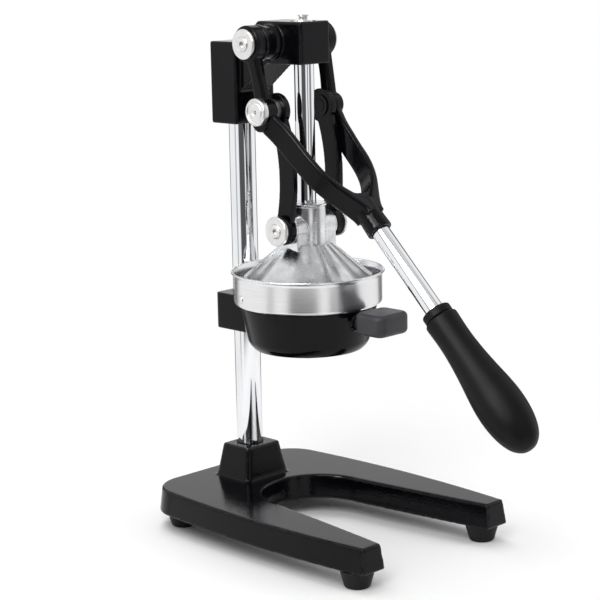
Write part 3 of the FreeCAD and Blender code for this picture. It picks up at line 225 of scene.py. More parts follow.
# %% Brushed group
tree, inp, out = new_group("brushed_round", [("Lines", 0.25), ("Length", 30.0)], ["Height", "Mask"])
axes = add_node(tree, "ShaderNodeSeparateXYZ", {"Vector": own_place(tree)}).outputs
along = maths(tree, "DIVIDE", MM_IN_METRE, inp["Length"])
across_lines = maths(tree, "DIVIDE", MM_IN_METRE, inp["Lines"])
squeezed = add_node(tree, "ShaderNodeCombineXYZ",
                    {"X": maths(tree, "MULTIPLY", axes["X"], along),
                     "Y": maths(tree, "MULTIPLY", axes["Y"], along),
                     "Z": maths(tree, "MULTIPLY", axes["Z"], across_lines)}).outputs[0]
lines = noise(tree, squeezed, 1.0, 3.0)
tree.links.new(lines, out["Height"])
tree.links.new(spread(tree, lines, 0.35, 0.65), out["Mask"])
print("group", tree.name)

# %% [markdown]
# Black castings show bright edge lines where their corners catch the light. This group paints that
# highlight into the colour:
# the surface's pointiness finds the corners, and noise breaks the line up.

# %% Painted edge highlight group
tree, inp, out = new_group("edge_light", [("From", 0.515), ("To", 0.56)], ["Mask"])
point = add_node(tree, "ShaderNodeNewGeometry").outputs["Pointiness"]
corner = spread(tree, point, inp["From"], inp["To"])
broken = spread(tree, noise(tree, own_place(tree), 160.0, 3.0), 0.3, 0.6)
tree.links.new(maths(tree, "MULTIPLY", corner, broken), out["Mask"])
print("group", tree.name)

# %% [markdown]
# One function turns a recipe into a material: two base colours mixed by a mask, a roughness that moves
# between two values, a bump of so many millimetres and the shader's constant numbers. Constants sit on
# the shader's own sockets, where an exporter can find them.

# %% Finishes
finishes = {}


def finish(name, slot, group, sizes, colours, roughness, bump, metallic=0.0, edge=None, **constants):
    material = bpy.data.materials.new(name)
    material.use_nodes = True
    tree = material.node_tree
    shader = tree.nodes["Principled BSDF"].inputs
    pattern = add_node(tree, "ShaderNodeGroup", node_tree=bpy.data.node_groups[group])
    for key, value in sizes.items():
        pattern.inputs[key].default_value = value
    mask = pattern.outputs["Mask"]
    colour = mix_colours(tree, mask, (*colours[0], 1), (*colours[1], 1))
    # An edge colour, when given, is a painted highlight that lightens the corners found by pointiness.
    if edge:
        edge_highlight = add_node(tree, "ShaderNodeGroup", node_tree=bpy.data.node_groups["edge_light"])
        colour = mix_colours(tree, edge_highlight.outputs["Mask"], colour, (*edge, 1))
    tree.links.new(colour, shader["Base Color"])
    tree.links.new(spread(tree, mask, 0.0, 1.0, *roughness), shader["Roughness"])
    dent = add_node(tree, "ShaderNodeBump", {"Height": pattern.outputs["Height"], "Strength": 1.0,
                                            "Distance": bump * MM})
    tree.links.new(dent.outputs["Normal"], shader["Normal"])
    shader["Metallic"].default_value = metallic
    for key, value in constants.items():
        shader[key.replace("_", " ")].default_value = value
    finishes[slot] = material
    print("finish", name, "for", slot)


# %% [markdown]
# Five blacks stand side by side on this press, and they differ mostly in gloss. The enamel on the
# castings is the deepest and shines, the grip's vinyl is satin, the feet are dull rubber, and the
# handle's plastic is a dark grey. Their base colours are very low, since the light does the rest.

# %% Black finishes
# The enamel's edge colour is a painted highlight on the castings' corners.
finish("black_enamel", "black_casting", "hammered", {"Size": 1.7},
       ((0.0014, 0.0014, 0.0022), (0.003, 0.003, 0.0042)), (0.08, 0.17), 0.08,
       edge=(0.03, 0.03, 0.035), Specular_IOR_Level=0.15)
finish("foot_rubber", "foot_rubber", "fine_grain", {"Size": 0.5},
       ((0.004, 0.004, 0.005), (0.008, 0.008, 0.009)), (0.5, 0.68), 0.03, Specular_IOR_Level=0.22)
finish("black_fixing", "black_spacer", "fine_grain", {"Size": 0.8},
       ((0.002, 0.002, 0.003), (0.006, 0.006, 0.007)), (0.2, 0.35), 0.01, Specular_IOR_Level=0.2)
finish("grip_vinyl", "grip_plastic", "fine_grain", {"Size": 0.45, "Patch": 30.0},
       ((0.002, 0.002, 0.0022), (0.0035, 0.0035, 0.004)), (0.38, 0.52), 0.02, Specular_IOR_Level=0.16)
finish("handle_plastic", "paddle_plastic", "fine_grain", {"Size": 0.35, "Patch": 12.0},
       ((0.03, 0.03, 0.034), (0.04, 0.04, 0.046)), (0.4, 0.52), 0.02, Specular_IOR_Level=0.35)

# %% [markdown]
# The metals differ in how they were worked. The bars are hard chrome, nearly a mirror. The bell is cast
# and tumbled, the cup is spun and brushed round its axis, and the caps are turned and left satin.

# %% Metal finishes
finish("hard_chrome", "chrome_bar", "fine_grain", {"Size": 3.0, "Patch": 45.0},
       ((0.86, 0.87, 0.89), (0.8, 0.81, 0.83)), (0.03, 0.07), 0.0015, metallic=1.0)
finish("tumbled_aluminium", "cast_aluminium", "fine_grain", {"Size": 0.7, "Patch": 9.0},
       ((0.84, 0.845, 0.86), (0.68, 0.685, 0.705)), (0.2, 0.34), 0.02, metallic=1.0)
finish("brushed_steel", "spun_steel", "brushed_round", {"Lines": 0.35, "Length": 40.0},
       ((0.82, 0.82, 0.83), (0.78, 0.78, 0.79)), (0.22, 0.27), 0.0012, metallic=1.0)
finish("satin_steel", "pivot_steel", "fine_grain", {"Size": 0.3, "Patch": 6.0},
       ((0.84, 0.83, 0.82), (0.72, 0.715, 0.71)), (0.28, 0.4), 0.006, metallic=1.0)
finish("zinc_plate", "zinc_fixing", "fine_grain", {"Size": 0.5, "Patch": 5.0},
       ((0.3, 0.305, 0.32), (0.2, 0.205, 0.21)), (0.25, 0.4), 0.01, metallic=1.0)
finish("sintered_bronze", "bronze_bush", "fine_grain", {"Size": 0.3, "Patch": 4.0},
       ((0.5, 0.36, 0.2), (0.4, 0.28, 0.15)), (0.35, 0.5), 0.012, metallic=1.0)

# %% [markdown]
# Every node of the frame gets its finish now. Small pins, washers and screws keep the frame's own
# solid, which is right as it stands, and the larger pieces are replaced below.

# %% Dress the frame


def wear(obj, slot):
    obj.data.materials.clear()
    obj.data.materials.append(finishes[slot])


for name, obj in nodes.items():
    wear(obj, slot_of[name])
print("dressed", len(nodes), "nodes")

# %% [markdown]
# Helpers for making pieces. Operators act on whatever is selected, so each helper starts by selecting
# nothing, and a piece ends with its place in its mesh, riding on the body of the node it stands for.

# %% Piece helpers


def deselect():
    bpy.ops.object.select_all(action="DESELECT")


def only(obj):
    deselect()
    obj.select_set(True)
    bpy.context.view_layer.objects.active = obj


def add_modifier(obj, kind, **settings):
    only(obj)
    modifier = obj.modifiers.new(kind.lower(), kind)
    for key, value in settings.items():
        setattr(modifier, key, value)
    bpy.ops.object.modifier_apply(modifier=modifier.name)


def break_edges(obj, width, segments, sharpest):
    """Bevel every edge that turns by more than so many degrees."""
    add_modifier(obj, "BEVEL", width=width * MM, segments=segments, limit_method="ANGLE",
                 angle_limit=math.radians(sharpest))


def smooth_below(obj, degrees):
    only(obj)
    bpy.ops.object.shade_smooth_by_angle(angle=math.radians(degrees))


def settle():
    """Move the selected piece's place, turn and scale into its mesh."""
    bpy.ops.object.transform_apply(location=True, rotation=True, scale=True)


def join(name, pieces):
    """Join pieces into the first one."""
    deselect()
    for piece in pieces:
        piece.select_set(True)
    bpy.context.view_layer.objects.active = pieces[0]
    bpy.ops.object.join()
    pieces[0].name = name
    return pieces[0]


def hand_over(obj, *replaced):
    """Give a piece the finish and the body of the nodes that it replaces."""
    wear(obj, slot_of[replaced[0]])
    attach(obj, body_of[replaced[0]])
    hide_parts(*replaced)
    obj.data.update()
    print(obj.name, "for", ", ".join(replaced), "faces", len(obj.data.polygons))


print("piece helpers ready")

# %% [markdown]
# Two pieces start as a block, and three are reshaped at points or edges that are found by their place.
# The finding works in object mode, and the shaping that follows it works in edit mode.

# %% Block and pick


def block(name, centre, size):
    deselect()
    bpy.ops.mesh.primitive_cube_add(size=1, location=centre)
    obj = bpy.context.active_object
    obj.name = name
    obj.scale = size
    settle()
    return obj


def pick(obj, kind, wanted):
    """Select the points (VERT) or edges (EDGE) that are wanted, and stay in edit mode."""
    only(obj)
    bpy.ops.object.mode_set(mode="EDIT")
    bpy.ops.mesh.select_mode(type=kind)
    bpy.ops.mesh.select_all(action="DESELECT")
    bpy.ops.object.mode_set(mode="OBJECT")
    for element in obj.data.vertices if kind == "VERT" else obj.data.edges:
        element.select = wanted(element)
    bpy.ops.object.mode_set(mode="EDIT")


print("block and pick ready")

# %% [markdown]
# Bars, caps, spacers and the cup are turned on a lathe, and so they are here. A plane is merged to one
# vertex, the vertex is extruded along the profile, and Spin sweeps the profile round the axis. A small
# bevel then breaks the corners, as a lathe hand does with a file.

# %% Lathe
LATHE_STEPS = 96
FINE_STEPS = 128
CORNER_DEGREES = 28
SMOOTH_DEGREES = 40
UP = Vector((0, 0, 1))


def stand_along(obj, start, direction):
    """Put a piece that was made on Z at start, with its axis along direction."""
    obj.matrix_world = Matrix.Translation(start) @ direction.to_track_quat("Z", "Y").to_matrix().to_4x4()
    settle()


def turned(name, profile, start, direction, steps=LATHE_STEPS, edge=0.3):
    """Turn (way, radius) pairs, in millimetres, about a line from start along direction."""
    deselect()
    bpy.ops.mesh.primitive_plane_add(size=MM, location=(0, 0, 0))
    obj = bpy.context.active_object
    obj.name = name
    bpy.ops.object.mode_set(mode="EDIT")
    bpy.ops.mesh.select_all(action="SELECT")
    bpy.ops.mesh.merge(type="CENTER")
    way, radius = profile[0]
    bpy.ops.transform.translate(value=(radius * MM, 0, way * MM))
    for before, here in zip(profile, profile[1:]):
        step = ((here[1] - before[1]) * MM, 0, (here[0] - before[0]) * MM)
        bpy.ops.mesh.extrude_region_move(TRANSFORM_OT_translate={"value": step})
    bpy.ops.mesh.select_all(action="SELECT")
    bpy.ops.mesh.remove_doubles(threshold=0.001 * MM)
    bpy.ops.mesh.select_all(action="SELECT")
    bpy.ops.mesh.spin(steps=steps, angle=2 * math.pi, center=(0, 0, 0), axis=(0, 0, 1))
    bpy.ops.mesh.select_all(action="SELECT")
    bpy.ops.mesh.remove_doubles(threshold=0.002 * MM)
    bpy.ops.mesh.normals_make_consistent(inside=False)
    bpy.ops.object.mode_set(mode="OBJECT")
    if edge:
        break_edges(obj, edge, 3, CORNER_DEGREES)
    smooth_below(obj, SMOOTH_DEGREES)
    stand_along(obj, start, direction)
    return obj


print("lathe ready,", LATHE_STEPS, "steps")

# %% [markdown]
# Caps, pins and screws are driven by a hexagonal key. The socket is cut with a six-sided cylinder that
# is centred on the face, so half of it stands free and the cut is clean. Round nodes of the frame are
# measured by two more helpers, one for upright ones and one for those that lie along X.

# %% Sockets and measures


def hex_socket(obj, centre, direction, across_flats, depth):
    """Cut a hexagonal socket, centred on a face, into a piece."""
    deselect()
    radius = across_flats / 2 / math.cos(math.radians(30)) * MM
    bpy.ops.mesh.primitive_cylinder_add(vertices=6, radius=radius, depth=2 * depth * MM)
    cutter = bpy.context.active_object
    stand_along(cutter, centre, direction)
    add_modifier(obj, "BOOLEAN", operation="DIFFERENCE", object=cutter, solver="EXACT")
    only(cutter)
    bpy.ops.object.delete()
    smooth_below(obj, SMOOTH_DEGREES)


def standing(node):
    """Foot in metres, height and radius in millimetres, of a round node that stands upright."""
    low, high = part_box(node)
    foot = Vector(((low.x + high.x) / 2, (low.y + high.y) / 2, low.z))
    return foot, (high.z - low.z) / MM, (high.x - low.x) / 2 / MM


def lying(node):
    """Inner end in metres, direction, length and radius in millimetres, of a round node along X."""
    low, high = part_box(node)
    side = 1 if low.x + high.x > 0 else -1
    inner = low.x if side > 0 else high.x
    start = Vector((inner, (low.y + high.y) / 2, (low.z + high.z) / 2))
    return start, Vector((side, 0, 0)), (high.x - low.x) / MM, (high.z - low.z) / 2 / MM


print("sockets and measures ready")

# %% [markdown]
# The column and the rod are ground bar with a hard chrome coat. The column has a stud below, which
# passes through the base, so its profile has one step. The rod is plain. Both get extra steps,
# because a mirror shows every flat.

# %% Column and rod
STUD_R = 6.0
COLUMN_SEAT_Z = 40.0
BAR_EDGE = 0.6
foot, tall, COLUMN_R = standing("column")
stud = COLUMN_SEAT_Z - foot.z / MM
profile = [(0, 0), (0, STUD_R), (stud, STUD_R), (stud, COLUMN_R), (tall, COLUMN_R), (tall, 0)]
column = turned("chrome_column", profile, at(0, 0, foot.z / MM), UP, steps=FINE_STEPS, edge=BAR_EDGE)
hand_over(column, "column")
foot, tall, ROD_R = standing("guide_rod")
profile = [(0, 0), (0, ROD_R), (tall, ROD_R), (tall, 0)]
hand_over(turned("chrome_rod", profile, foot, UP, steps=FINE_STEPS, edge=BAR_EDGE), "guide_rod")

# %% [markdown]
# A stub with a turned head stands on top of the rod. It shows above the head casting, so it gets its
# neck, its head and a socket.

# %% Rod top
HEAD_H = 4.2
RIM_FROM_TOP = (0.3, 0.22)
NECK_SHARE = 0.8
SHANK_SHARE = 0.6
foot, tall, head_r = standing("rod_top_screw")
neck_r = head_r * NECK_SHARE
shank_r = head_r * SHANK_SHARE
profile = [(0, 0), (0, shank_r), (tall - HEAD_H, shank_r), (tall - HEAD_H, neck_r),
           (tall - HEAD_H * RIM_FROM_TOP[0], neck_r), (tall - HEAD_H * RIM_FROM_TOP[1], head_r),
           (tall, head_r), (tall, 0)]
stub = turned("rod_stub", profile, at(0, ROD_Y, foot.z / MM), UP, steps=48, edge=0.25)
hex_socket(stub, at(0, ROD_Y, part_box("rod_top_screw")[1].z / MM), UP, across_flats=3.6, depth=1.5)
hand_over(stub, "rod_top_screw")

# %% [markdown]
# The caps on the pivots are thick satin washers held by button screws. Their box gives the side, the
# start, the length and the radius, so one recipe serves all four. Round the button the washer is
# slightly dished.

# %% Pivot caps
CAP_H = 2.9
CAP_RIM_H = 0.5
CAP_RIM_W = 0.6
CAP_FOOT = 0.3
DISH = 0.6
DISH_GAP = 0.2
BUTTON_R = 5.6
BUTTON_EDGE_H = 0.5
BUTTON_EDGE_W = 0.9


def cap(name, node):
    start, outward, length, radius = lying(node)
    profile = [(0, 0), (0, radius - CAP_FOOT), (CAP_FOOT, radius), (CAP_H - CAP_RIM_H, radius),
               (CAP_H, radius - CAP_RIM_W), (CAP_H, BUTTON_R + DISH), (CAP_H - DISH, BUTTON_R + DISH_GAP),
               (CAP_H - DISH, BUTTON_R), (length - BUTTON_EDGE_H, BUTTON_R),
               (length, BUTTON_R - BUTTON_EDGE_W), (length, 0)]
    obj = turned(name, profile, start, outward, edge=0.18)
    hex_socket(obj, start + outward * length * MM, outward, across_flats=4.4, depth=2.2)
    hand_over(obj, node)


for side in ("left", "right"):
    cap("pivot_cap_" + side, "top_pivot_cap_" + side)
    cap("ear_cap_" + side, "lower_cap_" + side)

# %% [markdown]
# The left elbow has a pin with a broad flat head: a bevelled rim, a raised ring inside a groove and a
# small sunk centre with a socket. The head sits on a round boss of the fork. That boss is turned here
# and kept aside, because it is grown into the casting further down.

# %% Elbow pin
PIN_HEAD_H = 5.0
PIN_R = 5.5
PIN_RIM = 0.7
RING_R = 8.2
GROOVE_W = 0.8
FACE_DROP = 0.1
CENTRE_R = 3.4
CENTRE_FLOOR_R = 2.9
CENTRE_DEPTH = 0.5
BOSS_R = 9.4
BOSS_H = 3.6
start, outward, length, radius = lying("elbow_pin_left")
neck = length - PIN_HEAD_H
profile = [(0, 0), (0, PIN_R), (neck, PIN_R), (neck, radius), (length - PIN_RIM, radius),
           (length, radius - PIN_RIM), (length, RING_R + PIN_RIM), (length - PIN_RIM, RING_R),
           (length - PIN_RIM, RING_R - GROOVE_W), (length - FACE_DROP, RING_R - 2 * GROOVE_W),
           (length - FACE_DROP, CENTRE_R), (length - CENTRE_DEPTH, CENTRE_FLOOR_R),
           (length - CENTRE_DEPTH, 0)]
pin = turned("elbow_head_left", profile, start, outward, edge=0.15)
centre = start + outward * (length - CENTRE_DEPTH) * MM
hex_socket(pin, centre, outward, across_flats=2.6, depth=2.0)
hand_over(pin, "elbow_pin_left")
profile = [(0, 0), (0, BOSS_R), (BOSS_H, BOSS_R), (BOSS_H, 0)]
boss_foot = start + outward * neck * MM - outward * BOSS_H * MM
fork_boss = turned("fork_boss", profile, boss_foot, outward, edge=0.4)

# %% [markdown]
# The spacers between the links and the ears are black and ridged, like stacked washers. A loop lays
# down one ridge after another along the profile, which ends at the bore for the pin.

# %% Ridged spacers
RIDGES = 3
RIDGE_DEPTH = 0.9
CREST_FROM = 0.3
CREST_TO = 0.8
LOW_PIN_R = 5.05
for side in ("left", "right"):
    start, outward, length, radius = lying("lower_spacer_" + side)
    pitch = length / RIDGES
    profile = [(0, LOW_PIN_R)]
    for i in range(RIDGES):
        profile += [(i * pitch, radius - RIDGE_DEPTH), ((i + CREST_FROM) * pitch, radius),
                    ((i + CREST_TO) * pitch, radius)]
    profile += [(length, radius - RIDGE_DEPTH), (length, LOW_PIN_R), (0, LOW_PIN_R)]
    hand_over(turned("ridged_spacer_" + side, profile, start, outward, edge=0.15), "lower_spacer_" + side)

# %% [markdown]
# The lever's tube is chromed like the column, and a narrow collar with a rounded nose closes the grip
# towards it.

# %% Lever tube and collar
TUBE_START = 103.0
TUBE_END = 276.0
TUBE_R = 7.5
COLLAR_START = 204.0
COLLAR_END = 211.2
COLLAR_R = 11.9
COLLAR_EDGE = 0.8
COLLAR_NOSE = ((0, 1.2), (0.5, 0.3), (1.4, 0))
wide = TUBE_END - TUBE_START
profile = [(0, 0), (0, TUBE_R), (wide, TUBE_R), (wide, 0)]
hand_over(turned("chrome_lever_tube", profile, on_lever(TUBE_START), LEVER_DIR, edge=0.4), "lever_tube")
wide = COLLAR_END - COLLAR_START
bore = TUBE_R + 0.05
profile = [(0, bore)] + [(way, COLLAR_R - inset) for way, inset in COLLAR_NOSE]
profile += [(wide - COLLAR_EDGE, COLLAR_R), (wide, COLLAR_R - COLLAR_EDGE), (wide, bore), (0, bore)]
hand_over(turned("grip_ring", profile, on_lever(COLLAR_START), LEVER_DIR, edge=0.3), "grip_collar")

# %% [markdown]
# The grip is a dipped vinyl sleeve with a slight waist, a swell near its end and a round end. Its
# profile needs few points, because a subdivision surface rounds it, and a few close rings keep the
# shoulder crisp. The curve's first number counts along the lever, as the tube's ends do.

# %% Grip
GRIP_START = 211.6
GRIP_TIP = 334.2
GRIP_SHOULDER = ((0.0, 7.6), (0.0, 12.0), (0.1, 12.9), (0.8, 13.5), (1.6, 13.6))
GRIP_CURVE = ((215.0, 13.6), (224.0, 13.2), (236.0, 13.1), (251.0, 14.2), (266.0, 16.0), (277.0, 17.7),
              (289.0, 19.0), (299.0, 19.2), (311.0, 18.2), (321.0, 15.6), (328.0, 12.2), (332.6, 7.4),
              (334.0, 3.4))
profile = [(0, 0), *GRIP_SHOULDER]
profile += [(way - GRIP_START, radius) for way, radius in GRIP_CURVE]
profile.append((GRIP_TIP - GRIP_START, 0))
grip = turned("lever_grip_sleeve", profile, on_lever(GRIP_START), LEVER_DIR, steps=48, edge=0)
add_modifier(grip, "SUBSURF", levels=2, render_levels=2)
smooth_below(grip, 50)
hand_over(grip, "lever_grip")

# %% [markdown]
# The cup is spun from thin sheet. Its profile is one closed line: up the outside from the spout, over
# the rolled lip and down the inside. The lip is a round bead, made of a few points on a circle, and the
# rounded corner above the step is given as heights above it and distances in from the wall.

# %% Cup
SHEET = 0.9
BEAD_R = 0.9
STEP_Z = 194.0
OUTER_CORNER = ((0, 3.0), (0.5, 1.1), (1.5, 0.2), (3.0, 0))
INNER_CORNER = ((3.0, 0), (1.4, 1.0), (SHEET, 2.6))
FLARE_Z = 216.0
WELL_R = 47.8
WELL_Z = 178.0
TAPER_R = 40.1
TAPER_Z = 164.7
SPOUT_R = 12.9
SPOUT_FLOOR_Z = 158.8
low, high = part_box("juice_cup")
LIP_R = (high.x - low.x) / 2 / MM
CUP_R = LIP_R - 2.2
SPOUT_TIP_Z = low.z / MM
bead_r = LIP_R - BEAD_R
bead_z = high.z / MM - BEAD_R
inner_r = CUP_R - SHEET
profile = [(SPOUT_TIP_Z, SPOUT_R), (SPOUT_FLOOR_Z, SPOUT_R), (TAPER_Z, TAPER_R), (WELL_Z, WELL_R),
           (STEP_Z, WELL_R)]
profile += [(STEP_Z + up, CUP_R - inset) for up, inset in OUTER_CORNER]
profile += [(FLARE_Z, CUP_R), (FLARE_Z + 2.2, CUP_R + 0.6)]
for degrees in range(-60, 181, 24):
    a = math.radians(degrees)
    profile.append((bead_z + BEAD_R * math.sin(a), bead_r + BEAD_R * math.cos(a)))
profile += [(FLARE_Z + 2.4, inner_r + 0.4), (FLARE_Z, inner_r)]
profile += [(STEP_Z + up, inner_r - inset) for up, inset in INNER_CORNER]
profile += [(STEP_Z + SHEET, WELL_R - SHEET), (WELL_Z + 0.3, WELL_R - SHEET),
            (TAPER_Z + SHEET, TAPER_R - 0.6), (SPOUT_FLOOR_Z + SHEET, SPOUT_R - SHEET),
            (SPOUT_TIP_Z, SPOUT_R - SHEET)]
profile = [(z - SPOUT_TIP_Z, r) for z, r in profile + profile[:1]]
cup = turned("spun_cup", profile, at(0, ROD_Y, SPOUT_TIP_Z), UP, steps=192, edge=0.12)
hand_over(cup, "juice_cup")

# %% [markdown]
# Two rivets with domed heads sit opposite each other in the cup's wall. One recipe turns both, each on
# its own mesh, and they are joined because the frame holds them as one node.

# %% Rivets
RIVET_R = 3.1
RIVET_SHANK_R = 1.8
RIVET_TAIL = (0.9, 1.05)
RIVET_DOME = ((2.25, 0), (2.6, 0.15), (3.0, 0.8), (3.25, 1.7))
RIVET_TIP = 3.3
RIVET_Z = 202.0
RIVET_ANGLE = 162.0
RIVET_START_R = CUP_R - 2.2


def rivet(degrees):
    a = math.radians(degrees)
    outward = Vector((math.cos(a), math.sin(a), 0))
    profile = [(0, 0), (0, RIVET_R - 0.3), (RIVET_TAIL[0], RIVET_R), (RIVET_TAIL[1], RIVET_SHANK_R),
               (RIVET_DOME[0][0], RIVET_SHANK_R)]
    profile += [(way, RIVET_R - inset) for way, inset in RIVET_DOME]
    profile.append((RIVET_TIP, 0))
    start = at(0, ROD_Y, RIVET_Z) + outward * RIVET_START_R * MM
    return turned("rivet", profile, start, outward, steps=32, edge=0)


hand_over(join("cup_rivet_pair", [rivet(RIVET_ANGLE), rivet(RIVET_ANGLE + 180)]), "cup_rivets")

# %% [markdown]
# Rubber feet taper downwards and are hollow underneath for their screws. One recipe makes all four.

# %% Feet
FOOT_H = 14.0
FOOT_TOP_R = 13.5
FOOT_BOTTOM_R = 10.0
SCREW_HOLE_R = 2.55
RECESS_R = 5.6
RECESS_H = 6.0
profile = [(FOOT_H, SCREW_HOLE_R), (FOOT_H, FOOT_TOP_R - 0.4), (FOOT_H - 0.6, FOOT_TOP_R),
           (FOOT_H - 2.2, FOOT_TOP_R - 0.3), (1.8, FOOT_BOTTOM_R + 0.45), (0.6, FOOT_BOTTOM_R - 0.2),
           (0, FOOT_BOTTOM_R - 1.4), (0, RECESS_R), (RECESS_H, RECESS_R), (RECESS_H, SCREW_HOLE_R),
           (FOOT_H, SCREW_HOLE_R)]
for corner in ("front_left", "front_right", "rear_left", "rear_right"):
    foot = turned("rubber_foot_" + corner, profile, standing("foot_" + corner)[0], UP, steps=64, edge=0.35)
    hand_over(foot, "foot_" + corner)

# %% [markdown]
# Castings come out of sand with soft edges and blended corners. A copy of the frame's solid is merged,
# rebuilt as an even skin of small squares by Remesh and relaxed by Smooth, which rounds every edge by
# about the size of a square or two. The fork grows its boss in the same step.

# %% Castings


def soften(obj, skin, rounds):
    """Give a piece an even skin with squares of skin millimetres and relax it."""
    add_modifier(obj, "REMESH", mode="VOXEL", voxel_size=skin * MM, use_smooth_shade=True)
    add_modifier(obj, "SMOOTH", factor=0.5, iterations=rounds)
    only(obj)
    bpy.ops.object.shade_smooth()


def cast(name, node, skin, rounds, extra=()):
    """A soft-edged copy of a node, with any extra pieces grown into it."""
    obj = bpy.data.objects.new(name, nodes[node].data.copy())
    bpy.context.scene.collection.objects.link(obj)
    if extra:
        obj = join(name, [obj, *extra])
    only(obj)
    bpy.ops.object.mode_set(mode="EDIT")
    bpy.ops.mesh.select_all(action="SELECT")
    bpy.ops.mesh.remove_doubles(threshold=0.005 * MM)
    bpy.ops.object.mode_set(mode="OBJECT")
    soften(obj, skin, rounds)
    hand_over(obj, node)
    return obj


cast("cast_base", "base_casting", 1.15, 5)
cast("cast_head", "head_casting", 0.75, 5)
holder = cast("cast_holder", "bowl_holder", 0.85, 5)
cast("cast_fork", "lever_fork", 0.6, 5, [fork_boss])

# %% [markdown]
# Under the holder the casting is a shallow dish, so its foot is pressed flatter: everything below one
# height is scaled towards it, which keeps the surface whole.

# %% Holder foot
FLATTEN_Z = 157.0
FLATTEN = 0.42
pick(holder, "VERT", lambda vertex: vertex.co.z < FLATTEN_Z * MM)
bpy.ops.transform.resize(value=(1, 1, FLATTEN), center_override=at(0, ROD_Y, FLATTEN_Z))
bpy.ops.object.mode_set(mode="OBJECT")
print("holder foot at", round(min(v.co.z for v in holder.data.vertices) / MM, 1), "mm")

# %% [markdown]
# The strainer is pressed sheet with many slots, and the links are slender bars. Both are made like the
# castings, with a finer skin for the links, whose narrow ends show close to the camera.

# %% Strainer and links
cast("pressed_strainer", "strainer_cone", 0.85, 1)
cast("bowed_link_left", "link_left", 0.42, 4)
cast("bowed_link_right", "link_right", 0.42, 4)

# %% [markdown]
# The bell is a cone with twelve shallow flutes under a thick hub with two ears. The cone is turned
# first, with rings close enough to bend. The points between the ridges are then drawn in towards the
# axis, a little more with each step away from a ridge, which leaves flat panels and crisp ridges.

# %% Bell cone
FLUTES = 12
STEPS_IN_FLUTE = 8
DRAW_PER_STEP = 0.011
CROWN_R = 20.0
CROWN_Z = 243.0
RIM_R = 52.0
RIM_Z = 215.9
SKIRT_Z = 210.0
BELL_BORE_R = 9.0
INSIDE_TOP_R = 23.4
INSIDE_TOP_Z = 237.4
INSIDE_RIM_R = 48.9
INSIDE_RIM_Z = 216.4
RINGS = 8
bell_axis = at(0, ROD_Y, 0)
profile = [(INSIDE_TOP_Z, BELL_BORE_R), (INSIDE_TOP_Z, INSIDE_TOP_R), (INSIDE_RIM_Z, INSIDE_RIM_R),
           (SKIRT_Z, INSIDE_RIM_R), (SKIRT_Z, RIM_R), (RIM_Z, RIM_R)]
for i in range(1, RINGS + 1):
    share = i / RINGS
    profile.append((RIM_Z + (CROWN_Z - RIM_Z) * share, RIM_R + (CROWN_R - RIM_R) * share))
profile += [(CROWN_Z, BELL_BORE_R), (INSIDE_TOP_Z, BELL_BORE_R)]
profile = [(z - SKIRT_Z, r) for z, r in profile]
bell = turned("bell_cone", profile, at(0, ROD_Y, SKIRT_Z), UP, steps=STEPS_IN_FLUTE * FLUTES, edge=0)


def steps_from_ridge(vertex):
    """Steps from a point of the outer cone to the nearest ridge, or 0 for a point elsewhere."""
    spot = vertex.co - bell_axis
    z = spot.z / MM
    cone_r = RIM_R - (z - RIM_Z) / (CROWN_Z - RIM_Z) * (RIM_R - CROWN_R)
    if abs(math.hypot(spot.x, spot.y) / MM - cone_r) >= 0.05 or z <= RIM_Z + 0.1:
        return 0
    degrees = math.degrees(math.atan2(spot.y, spot.x))
    step = round(degrees / (360 / FLUTES / STEPS_IN_FLUTE)) % STEPS_IN_FLUTE
    return min(step, STEPS_IN_FLUTE - step)


for away in range(1, STEPS_IN_FLUTE // 2 + 1):
    pick(bell, "VERT", lambda vertex: steps_from_ridge(vertex) == away)
    pull = 1 - DRAW_PER_STEP * away
    bpy.ops.transform.resize(value=(pull, pull, 1), center_override=bell_axis)
    bpy.ops.object.mode_set(mode="OBJECT")
break_edges(bell, 0.35, 2, 20)
smooth_below(bell, 18)
hand_over(bell, "press_bell")

# %% [markdown]
# The hub is turned with its lip, and one block with a round top passes through it to make both ears.
# The three are grown together by Remesh, which leaves the small fillets that a casting has, and the
# rod's bore is cut afterwards, so that it stays true.

# %% Bell hub
HUB_R = 15.7
HUB_LIP_R = 16.8
HUB_LIP_FROM_TOP = (2.2, 1.7)
HUB_TOP_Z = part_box("press_bell")[1].z / MM
HUB_FOOT_Z = 238.2
BORE_FLOOR = 6.0
BORE_GAP = 0.2
EAR_Z = 256.0
EAR_R = 11.8
EAR_HALF_WIDE = 22.0
EAR_HALF_DEEP = 11.2
tall = HUB_TOP_Z - HUB_FOOT_Z
bore = ROD_R + BORE_GAP
profile = [(0, 0), (0, HUB_R), (tall - HUB_LIP_FROM_TOP[0], HUB_R), (tall - HUB_LIP_FROM_TOP[1], HUB_LIP_R),
           (tall, HUB_LIP_R), (tall, bore), (BORE_FLOOR, bore), (BORE_FLOOR, 0)]
hub = turned("bell_hub", profile, at(0, ROD_Y, HUB_FOOT_Z), UP, edge=0)
wide = 2 * EAR_HALF_WIDE
profile = [(0, 0), (0, EAR_R), (wide, EAR_R), (wide, 0)]
ear_round = turned("ear_round", profile, at(-EAR_HALF_WIDE, ROD_Y, EAR_Z), Vector((1, 0, 0)), edge=0)
ear_block = block("ear_block", at(0, ROD_Y, (EAR_Z + HUB_FOOT_Z) / 2),
                  (wide * MM, 2 * EAR_HALF_DEEP * MM, (EAR_Z - HUB_FOOT_Z) * MM))
hub = join("bell_hub", [hub, ear_round, ear_block])
soften(hub, 0.42, 3)
add_modifier(hub, "BOOLEAN", operation="DIFFERENCE", object=nodes["guide_rod"], solver="EXACT")
wear(hub, "cast_aluminium")
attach(hub, "plunger")
print("hub faces", len(hub.data.polygons))

# %% [markdown]
# A set screw at the back of the hub holds the rod. It reaches from the rod to just outside the hub, so
# its length follows from both.

